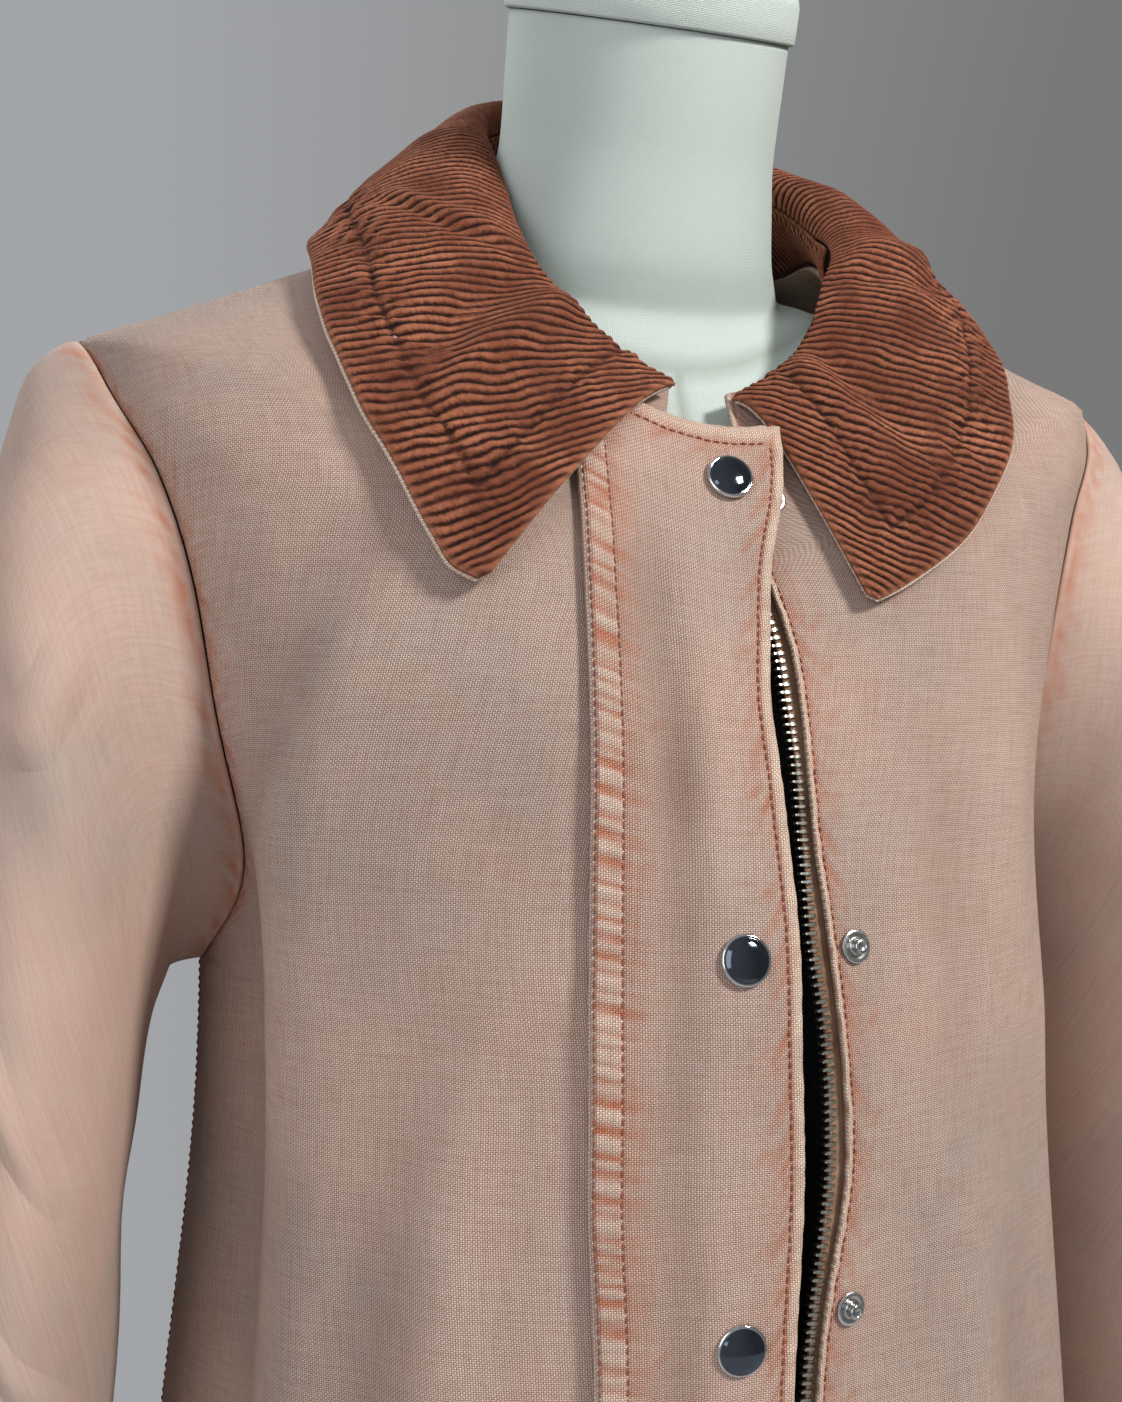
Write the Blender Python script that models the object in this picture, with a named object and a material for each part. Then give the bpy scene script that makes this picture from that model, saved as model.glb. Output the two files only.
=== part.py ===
"""A women's canvas barn jacket with a corduroy collar, hanging open on a dress form.

Metres, +Z up. The wearer looks along -Y and the wearer's left is +X. The origin is on the floor,
under the middle of the stand. The jacket's cut is worked out on one surface, the body shell: a
stack of rings from hem to neck, each point named by the ring's height at the side (side_z) and
its angle round the body (0 at the centre front, +90 at the wearer's left side, 180 at the back).
"""

import math

import bmesh
import bpy
import numpy as np
from mathutils import Matrix, Vector, kdtree

MM = 0.001
GAP = 0.3 * MM             # air kept between two pieces that meet
SEAM_GAP = 0.45 * MM       # between panel edges, where facets stray a little
CANVAS = 1.8 * MM          # a panel's wall, its turnings included

HEM_Z = 0.695
NECK_Z = 1.418             # the neck point at the side of the neck
ARMPIT_Z = 1.160
TIP_Z = 1.367              # where the sleeve starts on the dropped shoulder
SQUARENESS = 2.2           # 2 is an ellipse

SIDE_SEAM_ANGLE = 92.0
SHOULDER_SEAM_ANGLE = 84.5     # the back wraps a little over the shoulder
ARMHOLE_FRONT_SPREAD = 22.0    # how far the armhole cuts into the front and back, degrees
ARMHOLE_BACK_SPREAD = 20.0

FLAP_WALL = 2.6 * MM       # two layers of canvas
FLAP_RIDGE_LIFT = 3.9 * MM     # the flap's outer face above the body shell
FLAP_EDGE_LIFT = 6.5 * MM
FLAP_TOP_RIDGE = 1.411     # side_z of the flap's top, at the ridge and at the free edge
FLAP_TOP_EDGE = 1.402
FLAP_PLEAT = (1.5 * MM, 9.0 * MM)   # the raised strip between the flap's two rows of stitches
FLAP_PLEAT_RISE = 0.6 * MM

COLLAR_WALL = 1.6 * MM
WALE_PITCH = 3.1 * MM
WALE_RISE = 0.55 * MM
COLLAR_REST = 4.6 * MM     # the fall's outer face above the body shell, twice that over the flap
COLLAR_TUCK = 15 * MM      # how far the fall reaches down inside the roll
TUCK_END = 0.045           # from the roll's front end to where that tuck starts, and its run-in
TUCK_FADE = 0.07
UNDER_COLLAR_WALL = 1.0 * MM
COLLAR_FAN = 0.89          # an outer edge's length, measured across the wales

ZIP_TAPE_WALL = 0.8 * MM
ZIP_TEETH_WIDTH = 4.0 * MM
ZIP_TEETH_WALL = 2.4 * MM
ZIP_DEPTH = -3.4 * MM      # the tape's middle, behind the panels' outer face
ZIP_TOP_Z = 1.392
ZIP_FOOT_Z = 0.740         # where the teeth start, above the slider and the box

RIGHT_TEETH_OUT = 6 * MM   # from the right front's edge to its teeth
SLIDER_HALF_HEIGHT = 5.5 * MM
SLIDER_Z = ZIP_FOOT_Z - SLIDER_HALF_HEIGHT - GAP
SLIDER_HALF_WALL = 2.1 * MM
BOX_HALF_HEIGHT = 5 * MM
PULL_HINGE_OUT = 4.6 * MM      # the pull's pin, from the middle of the zip
PULL_PIN_RADIUS = 0.8 * MM
PULL_BARREL_RADIUS = 1.9 * MM
PULL_HALF_WIDTH = 2.9 * MM
PULL_WALL = 1.3 * MM
PULL_LENGTH = 24 * MM

SNAP_RADIUS = 7.4 * MM
SNAP_TOP_Z = 1.317
SNAP_STEPS = (0.140, 0.1065, 0.1065, 0.1065, 0.1065)   # down to each next snap, heights at the flap
SNAP_INSET = 17 * MM       # from the flap's free edge
STUD_INSET = 8 * MM        # from the left front's folded edge

FORM_BOTTOM_Z = 0.800
POLE_RADIUS = 16 * MM
BASE_RADIUS = 190 * MM
BASE_HEIGHT = 14 * MM


class Rows:
    """A short table read as smooth curves. Its first number is the key, which rises."""

    def __init__(self, names, rows):
        data = np.array([row[-len(names):] for row in rows], float)
        self.key = data[:, 0]
        self.values = {name: data[:, i] for i, name in enumerate(names)}

    def at(self, name, key):
        """Monotone cubic through the column's values."""
        x, y = self.key, self.values[name]
        step = np.diff(x)
        slope = np.diff(y) / step
        mean = (slope[:-1] * step[1:] + slope[1:] * step[:-1]) / (step[1:] + step[:-1])
        limit = 3 * np.minimum(abs(slope[:-1]), abs(slope[1:]))
        turning = slope[:-1] * slope[1:] <= 0
        mean = np.where(turning, 0, np.clip(mean, -limit, limit))
        tangent = np.concatenate([slope[:1], mean, slope[-1:]])
        key = np.clip(np.asarray(key, float), x[0], x[-1])
        i = np.clip(np.searchsorted(x, key, side="right") - 1, 0, len(x) - 2)
        t = (key - x[i]) / step[i]
        start = (2 * t**3 - 3 * t**2 + 1) * y[i] + (t**3 - 2 * t**2 + t) * step[i] * tangent[i]
        end = (3 * t**2 - 2 * t**3) * y[i + 1] + (t**3 - t**2) * step[i] * tangent[i + 1]
        return start + end


# The body shell's rings. front_z and back_z are the ring's heights at the centre front and back.
BODY = Rows(
    ("side_z", "half_width", "mid_y", "front", "back", "front_z", "back_z"),
    [
        ("hem", HEM_Z, 0.188, 0.000, 0.158, 0.152, 0.693, 0.697),
        ("hip", 0.830, 0.182, 0.000, 0.157, 0.148, 0.829, 0.832),
        ("waist", 1.000, 0.162, 0.000, 0.151, 0.130, 1.000, 1.002),
        ("bust", 1.120, 0.150, 0.000, 0.154, 0.121, 1.112, 1.124),
        ("armpit", ARMPIT_Z, 0.149, 0.000, 0.155, 0.120, 1.142, 1.166),
        ("chest_low", 1.190, 0.150, -0.001, 0.153, 0.119, 1.163, 1.197),
        ("chest", 1.220, 0.154, -0.002, 0.149, 0.118, 1.183, 1.228),
        ("chest_high", 1.260, 0.163, -0.003, 0.143, 0.117, 1.208, 1.269),
        ("across", 1.300, 0.173, -0.004, 0.137, 0.116, 1.234, 1.310),
        ("armhole_top", 1.330, 0.183, -0.005, 0.130, 0.113, 1.256, 1.341),
        ("under_tip", 1.355, 0.193, -0.006, 0.122, 0.106, 1.277, 1.366),
        ("tip", TIP_Z, 0.192, -0.008, 0.116, 0.098, 1.290, 1.377),
        ("shoulder_low", 1.379, 0.165, -0.010, 0.109, 0.088, 1.304, 1.389),
        ("shoulder_mid", 1.390, 0.138, -0.012, 0.102, 0.078, 1.318, 1.401),
        ("shoulder_high", 1.401, 0.112, -0.014, 0.095, 0.068, 1.330, 1.413),
        ("neck_side", 1.411, 0.090, -0.016, 0.088, 0.059, 1.340, 1.424),
        ("neck", NECK_Z, 0.076, -0.018, 0.082, 0.053, 1.348, 1.432),
    ])

# The largest folds: each runs from a top point to a bottom one, with its height outward in mm.
FOLDS = [
    ("right_drape", 1.300, -57, 0.700, -50, 3, 9),
    ("right_drape_trough", 1.285, -72, 0.700, -66, -14, 9),
    ("left_drape", 1.265, 58, 0.700, 48, 9, 9),
    ("left_drape_trough", 1.245, 73, 0.700, 64, -10, 9),
    ("right_hem_flare", 0.980, -24, 0.600, -27, 6, 9),
    ("left_hem_flare", 1.000, 34, 0.600, 31, 7, 9),
    ("back_right_drape", 1.240, -118, 0.600, -128, 9, 10),
    ("back_left_drape", 1.250, 120, 0.600, 131, 8, 10),
    ("back_centre", 1.200, 178, 0.600, 176, 6, 12),
]
# The left front hangs behind the flap.
SET_BACK = ("left_front_set_back", 1.500, 14, 0.690, 14, -7, 14)

# Edges down the open front, as X in mm: the flap's folded ridge and free edge, the right front's
# edge under it, the left front's folded edge and its zip teeth.
OPENING = Rows(
    ("side_z", "ridge", "free", "right_edge", "left_edge", "left_teeth"),
    [
        ("hem", HEM_Z, -50, 6, -26, 27, 18.5),
        ("skirt", 0.850, -50, 5, -26, 24, 19),
        ("waist", 1.000, -50, 5, -26, 19, 15),
        ("under_bust", 1.060, -50, 6, -26, 21, 18.5),
        ("bust", 1.124, -52, 8, -26, 30, 25),
        ("armpit", 1.173, -52, 7, -26, 27, 23),
        ("chest", 1.222, -51, 8, -26, 24, 19.5),
        ("chest_high", 1.278, -49, 7, -26, 22, 19.5),
        ("across", 1.318, -48, 6, -26, 22, 18.5),
        ("under_collar", 1.349, -47, 9, -25, 20, 16.5),
        ("collar", 1.372, -46, 13, -22, 14, 10),
        ("top", 1.393, -45, 21, -17, 12, 7),
        ("neck", NECK_Z, -44, 25, -9, 12, 7),
    ])

# The collar, round the neck from the right front end to the left one. A station joins a point of
# the neck seam (an angle), a point of the roll (X, Y, Z in mm) and a point of the outer edge
# (side_z and angle on the body shell, and how far the edge stands off it in mm). The last columns
# are how broad the roll is, in mm, and how far the stand bows toward the neck, as a share.
COLLAR = Rows(
    ("station", "neck_angle", "roll_x", "roll_y", "roll_z", "edge_z", "edge_angle", "lift", "round",
     "bow"),
    [
        ("right_end", 0, -4, -9, -106, 1350, 1.336, -32.5, 8, 10, 0.30),
        ("right_1", 1, -13.5, -19, -103, 1356, 1.3365, -35.5, 7, 10, 0.50),
        ("right_2", 2, -22.5, -31, -98, 1366, 1.345, -38.5, 7, 10, 0.60),
        ("right_3", 3, -33, -42, -92, 1378, 1.360, -43.5, 7, 11, 0.60),
        ("right_4", 4, -43, -52, -84, 1394, 1.373, -50.5, 7, 11, 0.60),
        ("right_5", 5, -55, -56, -66, 1416, 1.386, -59.5, 8, 12, 0.55),
        ("right_6", 6, -70, -57, -41, 1445, 1.3955, -70, 8, 12, 0.45),
        ("right_7", 7, -90, -53, -12, 1466, 1.403, -90, 9, 12, 0.30),
        ("right_8", 8, -120, -41, 14, 1482, 1.405, -116, 9, 12, 0.20),
        ("right_9", 9, -150, -22, 30, 1492, 1.404, -145, 9, 12, 0.15),
        ("centre_back", 10, -180, 0, 37, 1496, 1.403, -180, 8, 12, 0.15),
        ("left_9", 11, -210, 24, 28, 1490, 1.404, -215, 9, 13, 0.15),
        ("left_8", 12, -238, 46, 10, 1478, 1.404, -246, 9, 14, 0.20),
        ("left_7", 13, -265, 61, -14, 1460, 1.401, -270, 10, 15, 0.30),
        ("left_6", 14, -285, 71, -40, 1443, 1.395, -289, 9, 15, 0.40),
        ("left_5", 15, -300, 75, -60, 1425, 1.385, -300, 8, 14, 0.40),
        ("left_4", 16, -312, 67, -78, 1408, 1.374, -309, 7, 12, 0.40),
        ("left_3", 17, -322, 55, -86, 1392, 1.362, -317, 6, 12, 0.40),
        ("left_2", 18, -332, 45, -91, 1376, 1.352, -324, 5, 11, 0.40),
        ("left_1", 19, -342, 32, -97, 1360, 1.347, -333, 5, 11, 0.30),
        ("left_end", 20, -353, 12, -101, 1348, 1.346, -338, 5, 10, 0.30),
    ])
COLLAR_STATIONS = 20
STAND_END = 4.6            # the station where the stand has run out into the neck seam

# Each sleeve from the armhole to the cuff: its outer and inner side (X from the middle, and Z),
# its half width from front to back, and its middle line's Y.
SLEEVE = Rows(
    ("station", "outer_x", "outer_z", "inner_x", "inner_z", "half_depth", "mid_y"),
    [
        ("armhole", 0, 0.196, 1.366, 0.152, 1.160, 0.083, 0.000),
        ("cap", 1, 0.206, 1.351, 0.159, 1.158, 0.086, -0.002),
        ("shoulder", 2, 0.215, 1.324, 0.164, 1.152, 0.088, -0.004),
        ("upper", 3, 0.222, 1.284, 0.168, 1.140, 0.089, -0.007),
        ("biceps", 4, 0.227, 1.233, 0.171, 1.120, 0.088, -0.010),
        ("above_elbow", 5, 0.231, 1.165, 0.174, 1.085, 0.085, -0.014),
        ("elbow", 6, 0.235, 1.090, 0.178, 1.035, 0.081, -0.019),
        ("below_elbow", 7, 0.240, 1.010, 0.184, 0.975, 0.076, -0.025),
        ("forearm", 8, 0.244, 0.930, 0.191, 0.912, 0.070, -0.031),
        ("wrist", 9, 0.248, 0.860, 0.198, 0.853, 0.065, -0.037),
        ("cuff", 10, 0.250, 0.800, 0.203, 0.802, 0.061, -0.042),
    ])
SLEEVE_ENDS = 10
# Crosswise creases of a limp sleeve: station, angle round it (0 outside, 90 front), depth in mm.
SLEEVE_CREASES = [
    ("under_cap", 3.3, 60, -5, 0.7),
    ("above_elbow", 5.2, 200, -5, 0.6),
    ("elbow_front", 6.2, 80, -7, 0.55),
    ("elbow_back", 6.9, -60, 5, 0.6),
    ("forearm", 8.0, 120, -4, 0.5),
]

# The form's torso under the jacket, rings as for the body shell. The back rests on its shoulders.
FORM = Rows(
    ("side_z", "half_width", "mid_y", "front", "back", "front_z", "back_z"),
    [
        ("bottom", FORM_BOTTOM_Z, 0.146, 0.000, 0.100, 0.106, 0.800, 0.800),
        ("hip", 0.870, 0.156, 0.000, 0.108, 0.114, 0.870, 0.870),
        ("waist", 1.030, 0.112, 0.000, 0.094, 0.086, 1.030, 1.030),
        ("under_bust", 1.100, 0.118, 0.000, 0.104, 0.088, 1.096, 1.102),
        ("bust", 1.160, 0.127, 0.000, 0.122, 0.092, 1.146, 1.166),
        ("chest", 1.220, 0.134, -0.002, 0.124, 0.096, 1.188, 1.228),
        ("across", 1.300, 0.158, -0.004, 0.116, 0.098, 1.240, 1.308),
        ("under_tip", 1.340, 0.174, -0.006, 0.108, 0.094, 1.272, 1.348),
        ("tip", 1.356, 0.172, -0.008, 0.103, 0.088, 1.288, 1.366),
        ("shoulder_low", 1.3808, 0.152, -0.010, 0.098, 0.080, 1.304, 1.379),
        ("shoulder_mid", 1.3918, 0.126, -0.012, 0.087, 0.070, 1.320, 1.392),
        ("shoulder_high", 1.4013, 0.100, -0.015, 0.079, 0.059, 1.336, 1.404),
        ("neck_side", 1.4045, 0.078, -0.018, 0.069, 0.050, 1.352, 1.416),
    ])
# The neck leans forward: middle Y and Z of each ring, half width, half depth and lean in degrees.
FORM_NECK = [
    ("seam", -0.0240, 1.4010, 0.0610, 0.0560, 27.0),
    ("low", -0.0330, 1.4170, 0.0525, 0.0570, 24.5),
    ("middle", -0.0430, 1.4460, 0.0480, 0.0540, 21.0),
    ("cap_line", -0.0560, 1.4850, 0.0485, 0.0550, 26.0),
]
CAP_LEAN = 26.0
CAP_RINGS = [("foot", 0.0, 1.6), ("rim", 14.0, 1.2), ("shoulder", 18.0, -6.0), ("dome", 20.5, -26.0)]


# ---------------------------------------------------------------- the body shell

def fold_height(side_z, angle, folds):
    total = np.zeros(np.broadcast(side_z, angle).shape)
    for _, top_z, top_angle, bottom_z, bottom_angle, out_mm, width in folds:
        down = np.clip((top_z - side_z) / (top_z - bottom_z), 0, 1)
        centre = top_angle + (bottom_angle - top_angle) * down
        grow = np.clip(down / 0.22, 0, 1)
        grow = grow * grow * (3 - 2 * grow)
        away = (angle - centre + 180) % 360 - 180
        total = total + out_mm * MM * grow * np.exp(-(away / width)**2)
    return total


def ring_point(rings, side_z, angle, folds=()):
    """A point on a stack of rings, for arrays of side heights and angles."""
    side_z, angle = np.broadcast_arrays(np.asarray(side_z, float), np.asarray(angle, float))
    s, c = np.sin(np.radians(angle)), np.cos(np.radians(angle))
    front = c > 0
    width = rings.at("half_width", side_z)
    depth = np.where(front, rings.at("front", side_z), rings.at("back", side_z))
    power = SQUARENESS
    radius = ((abs(s) / width)**power + (abs(c) / depth)**power)**(-1 / power)
    radius = radius + fold_height(side_z, angle, folds)
    end_z = np.where(front, rings.at("front_z", side_z), rings.at("back_z", side_z))
    x = radius * s
    y = rings.at("mid_y", side_z) - radius * c
    return np.stack([x, y, side_z + (end_z - side_z) * c * c], -1)


def body_point(side_z, angle, out=0.0, set_back=True):
    """A point of the jacket's outer face, moved out along the normal."""
    side_z, angle = np.broadcast_arrays(np.asarray(side_z, float), np.asarray(angle, float))
    folds = FOLDS + [SET_BACK] if set_back else FOLDS

    def at(dz, da):
        return ring_point(BODY, side_z + dz, angle + da, folds)

    across = at(0, 0.6) - at(0, -0.6)
    up = at(0.0015, 0) - at(-0.0015, 0)
    normal = np.cross(across, up)
    normal /= np.linalg.norm(normal, axis=-1, keepdims=True)
    return at(0, 0) + normal * np.broadcast_to(out, side_z.shape)[..., None]


def angle_at_x(side_z, x, set_back=True):
    """The angle where a front's ring passes a given X."""
    angle = np.zeros(np.broadcast(side_z, x).shape)
    for _ in range(8):
        y = body_point(side_z, angle, 0, set_back)[..., 1] - BODY.at("mid_y", side_z)
        angle = np.degrees(np.arctan2(x, -y))
    return angle


def opening_angle(name, side_z, set_back=True, shift=0.0):
    return angle_at_x(side_z, OPENING.at(name, side_z) * MM + shift, set_back)


def armhole_reach(side_z):
    """0 outside the armhole's height and 1 at its middle, as on an ellipse."""
    middle, half = (ARMPIT_Z + TIP_Z) / 2, (TIP_Z - ARMPIT_Z) / 2
    return np.sqrt(np.clip(1 - ((side_z - middle) / half)**2, 0, 1))


def seam_angle(side_z):
    """The side seam, the armhole's middle line and the shoulder seam, from hem to neck."""
    t = np.clip((side_z - ARMPIT_Z) / (TIP_Z - ARMPIT_Z), 0, 1)
    return SIDE_SEAM_ANGLE + (SHOULDER_SEAM_ANGLE - SIDE_SEAM_ANGLE) * t


def degrees_for(length, side_z, angle):
    """A short length along a ring, in degrees."""
    a, b = ring_point(BODY, side_z, angle - 0.5), ring_point(BODY, side_z, angle + 0.5)
    return length / np.linalg.norm(b - a, axis=-1)


def front_edge_angle(side_z):
    edge = seam_angle(side_z) - ARMHOLE_FRONT_SPREAD * armhole_reach(side_z)
    return edge - degrees_for(SEAM_GAP, side_z, edge)


def back_edge_angle(side_z):
    return seam_angle(side_z) + ARMHOLE_BACK_SPREAD * armhole_reach(side_z)


def panel_heights():
    """The heights of a panel's rows: closer together where the armhole turns."""
    skirt = list(np.linspace(HEM_Z, 1.12, 8))
    turns = np.radians(np.linspace(180, 0, 11))
    armhole = list((ARMPIT_Z + TIP_Z) / 2 + (TIP_Z - ARMPIT_Z) / 2 * np.cos(turns))
    return np.array(skirt + armhole + [1.379, 1.390, 1.401, 1.411, NECK_Z])


# ---------------------------------------------------------------- meshes and materials

def material(name, colour, roughness, metallic=0.0):
    mat = bpy.data.materials.new(name)
    mat.use_nodes = True
    shader = mat.node_tree.nodes["Principled BSDF"]
    shader.inputs["Base Color"].default_value = (*colour, 1)
    shader.inputs["Roughness"].default_value = roughness
    shader.inputs["Metallic"].default_value = metallic
    return mat


def add_object(name, points, faces, colour, smooth=True):
    mesh = bpy.data.meshes.new(name)
    mesh.from_pydata([tuple(map(float, p)) for p in points], [], faces)
    mesh.validate()
    bm = bmesh.new()
    bm.from_mesh(mesh)
    bmesh.ops.recalc_face_normals(bm, faces=bm.faces)
    if bm.calc_volume(signed=True) < 0:
        bmesh.ops.reverse_faces(bm, faces=bm.faces)
    bm.to_mesh(mesh)
    bm.free()
    if smooth:
        mesh.shade_smooth()
        mesh.set_sharp_from_angle(angle=math.radians(40))
    mesh.materials.append(colour)
    obj = bpy.data.objects.new(name, mesh)
    bpy.context.scene.collection.objects.link(obj)
    return obj


def grid_faces(rows, cols, start, flip, wrap=False):
    faces = []
    for r in range(rows - 1):
        for c in range(cols if wrap else cols - 1):
            d = (c + 1) % cols
            quad = [start + r * cols + c, start + r * cols + d,
                    start + (r + 1) * cols + d, start + (r + 1) * cols + c]
            faces.append(quad[::-1] if flip else quad)
    return faces


def grid_triangles(rows, cols, start, flip):
    """As grid_faces, with every four corners split the same way, for surfaces that lie close."""
    faces = []
    for r in range(rows - 1):
        for c in range(cols - 1):
            a, b = start + r * cols + c, start + r * cols + c + 1
            d, e = a + cols, b + cols
            pair = [[a, b, e], [a, e, d]]
            faces += [f[::-1] for f in pair] if flip else pair
    return faces


def wall(name, outer, inner, colour, split=grid_faces):
    """A closed wall between two grids of the same size, joined round their four edges."""
    rows, cols = outer.shape[:2]
    count = rows * cols
    faces = split(rows, cols, 0, False) + split(rows, cols, count, True)
    rim = [(0, c) for c in range(cols)] + [(r, cols - 1) for r in range(1, rows)]
    rim += [(rows - 1, c) for c in range(cols - 2, -1, -1)] + [(r, 0) for r in range(rows - 2, 0, -1)]
    rim = [r * cols + c for r, c in rim]
    for a, b in zip(rim, rim[1:] + rim[:1]):
        faces.append([b, a, a + count, b + count])
    points = np.concatenate([outer.reshape(-1, 3), inner.reshape(-1, 3)])
    return add_object(name, points, faces, colour)


def tube_wall(name, outer, inner, colour):
    """A wall that goes all round, open at both ends."""
    rows, cols = outer.shape[:2]
    count = rows * cols
    faces = grid_faces(rows, cols, 0, False, True) + grid_faces(rows, cols, count, True, True)
    for row in (0, rows - 1):
        for c in range(cols):
            a, b = row * cols + c, row * cols + (c + 1) % cols
            faces.append([b, a, a + count, b + count])
    points = np.concatenate([outer.reshape(-1, 3), inner.reshape(-1, 3)])
    return add_object(name, points, faces, colour)


def closed_stack(name, rings, colour):
    """A solid through closed rings, capped flat at both ends."""
    rows, cols = rings.shape[:2]
    faces = grid_faces(rows, cols, 0, False, True)
    faces.append(list(range(cols))[::-1])
    faces.append([(rows - 1) * cols + c for c in range(cols)])
    return add_object(name, rings.reshape(-1, 3), faces, colour)


def turned(name, profile, segments, place, colour):
    """A turned piece: profile points (radius, height), from the foot's middle to the top's."""
    rings = [[(r * math.cos(t), r * math.sin(t), h) for t in np.arange(segments) * 2 * math.pi / segments]
             for r, h in profile if r > 0]
    points = [place @ Vector(p) for ring in rings for p in ring]
    count = len(rings)
    faces = grid_faces(count, segments, 0, False, True)
    foot, top = len(points), len(points) + 1
    points += [place @ Vector((0, 0, profile[0][1])), place @ Vector((0, 0, profile[-1][1]))]
    for c in range(segments):
        d = (c + 1) % segments
        last = (count - 1) * segments
        faces.append([foot, d, c])
        faces.append([top, last + c, last + d])
    return add_object(name, points, faces, colour)


def box_between(name, low, high, place, colour, bevel=0.0):
    corners = [(x, y, z) for z in (low[2], high[2]) for y in (low[1], high[1]) for x in (low[0], high[0])]
    faces = [[0, 2, 3, 1], [4, 5, 7, 6], [0, 1, 5, 4], [2, 6, 7, 3], [0, 4, 6, 2], [1, 3, 7, 5]]
    obj = add_object(name, [place @ Vector(c) for c in corners], faces, colour, smooth=False)
    if bevel:
        rounding = obj.modifiers.new("rounding", "BEVEL")
        rounding.width = bevel
        rounding.segments = 1
    return obj


# ---------------------------------------------------------------- the jacket's panels

def panel(name, left_angle, right_angle, cols, colour):
    """A panel of the body shell between two edges, each a function of height."""
    heights = panel_heights()
    start, end = left_angle(heights), right_angle(heights)
    share = np.linspace(0, 1, cols)
    angles = start[:, None] + (end - start)[:, None] * share
    side_z = np.broadcast_to(heights[:, None], angles.shape)
    return wall(name, body_point(side_z, angles), body_point(side_z, angles, -CANVAS), colour)


def build_panels(canvas):
    panel("front_right", lambda z: -front_edge_angle(z), lambda z: opening_angle("right_edge", z),
          11, canvas)
    panel("front_left", lambda z: opening_angle("left_edge", z), front_edge_angle, 11, canvas)
    panel("back", back_edge_angle, lambda z: 360 - back_edge_angle(z), 15, canvas)


SLEEVE_SIDES = 20


def sleeve_point(side, station, turn):
    """A point of a sleeve's outer face: station from the armhole, turn round it (0 outside, 90 front)."""
    station, turn = np.broadcast_arrays(np.asarray(station, float), np.asarray(turn, float))
    a = np.radians(turn)
    outer = np.stack([SLEEVE.at("outer_x", station), SLEEVE.at("outer_z", station)], -1)
    inner = np.stack([SLEEVE.at("inner_x", station), SLEEVE.at("inner_z", station)], -1)
    middle, reach = (outer + inner) / 2, (outer - inner) / 2
    length = np.linalg.norm(reach, axis=-1)
    depth = SLEEVE.at("half_depth", station)
    crease = np.zeros(station.shape)
    for _, where, angle, depth_mm, spread in SLEEVE_CREASES:
        away = (turn - angle - 25 * (station - where) + 180) % 360 - 180
        crease = crease + depth_mm * MM * np.exp(-((station - where) / spread)**2 - (away / 55)**2)
    across = (length + crease) / length * np.cos(a)
    front = (depth + crease) * np.sin(a)
    x = middle[..., 0] + reach[..., 0] * across
    z = middle[..., 1] + reach[..., 1] * across
    y = SLEEVE.at("mid_y", station) - front
    free = np.stack([x, y, z], -1)

    # near the armhole the sleeve follows the armhole's own loop
    loop_z = (ARMPIT_Z + TIP_Z) / 2 + (TIP_Z - ARMPIT_Z) / 2 * np.cos(a)
    spread = np.where(np.sin(a) > 0, -ARMHOLE_FRONT_SPREAD, ARMHOLE_BACK_SPREAD)
    loop_angle = seam_angle(loop_z) + spread * abs(np.sin(a))
    ease = np.clip(station / 2.5, 0, 1)
    ease = (ease * ease * (3 - 2 * ease))[..., None]
    loop = body_point(loop_z, side * loop_angle)
    loop[..., 0] *= side
    out = np.stack([SLEEVE.at("outer_x", station) - SLEEVE.at("outer_x", 0), 0 * x, 0 * x], -1)
    toward = np.stack([0 * x + SEAM_GAP, 0 * x, 0 * x], -1)
    mixed = (loop + out * (1 - np.abs(ease - 0.5)) + toward) * (1 - ease) + free * ease
    mixed[..., 0] *= side
    return mixed


def sleeve_wall(side, station, turn, inward):
    """The sleeve's inner face, along the outer face's normals."""
    station, turn = np.broadcast_arrays(np.asarray(station, float), np.asarray(turn, float))
    low, high = np.clip(station - 0.2, 0, SLEEVE_ENDS), np.clip(station + 0.2, 0, SLEEVE_ENDS)
    along = sleeve_point(side, high, turn) - sleeve_point(side, low, turn)
    around = sleeve_point(side, station, turn + 5) - sleeve_point(side, station, turn - 5)
    normal = np.cross(along, around) * side
    normal /= np.linalg.norm(normal, axis=-1, keepdims=True)
    return sleeve_point(side, station, turn) - normal * inward


def build_sleeves(canvas):
    stations = np.array([0, 0.5, 1, 1.6, 2.3, 3.2, 4.2, 5.2, 6.2, 7.0, 8.0, 9.0, 10.0])
    turns = np.arange(SLEEVE_SIDES) * 360 / SLEEVE_SIDES
    grid = np.meshgrid(stations, turns, indexing="ij")
    for name, side in (("sleeve_right", -1), ("sleeve_left", 1)):
        tube_wall(name, sleeve_point(side, *grid), sleeve_wall(side, *grid, CANVAS), canvas)


def flap_point(side_z, across, out=0.0):
    """A point of the storm flap: across is in metres from the ridge toward the free edge."""
    x_ridge = OPENING.at("ridge", side_z) * MM
    width = OPENING.at("free", side_z) * MM - x_ridge
    share = across / width
    lift = FLAP_RIDGE_LIFT + (FLAP_EDGE_LIFT - FLAP_RIDGE_LIFT) * np.clip(share, 0, 1)
    angle = angle_at_x(side_z, x_ridge + across, set_back=False)
    return body_point(side_z, angle, lift + out, set_back=False)


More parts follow.
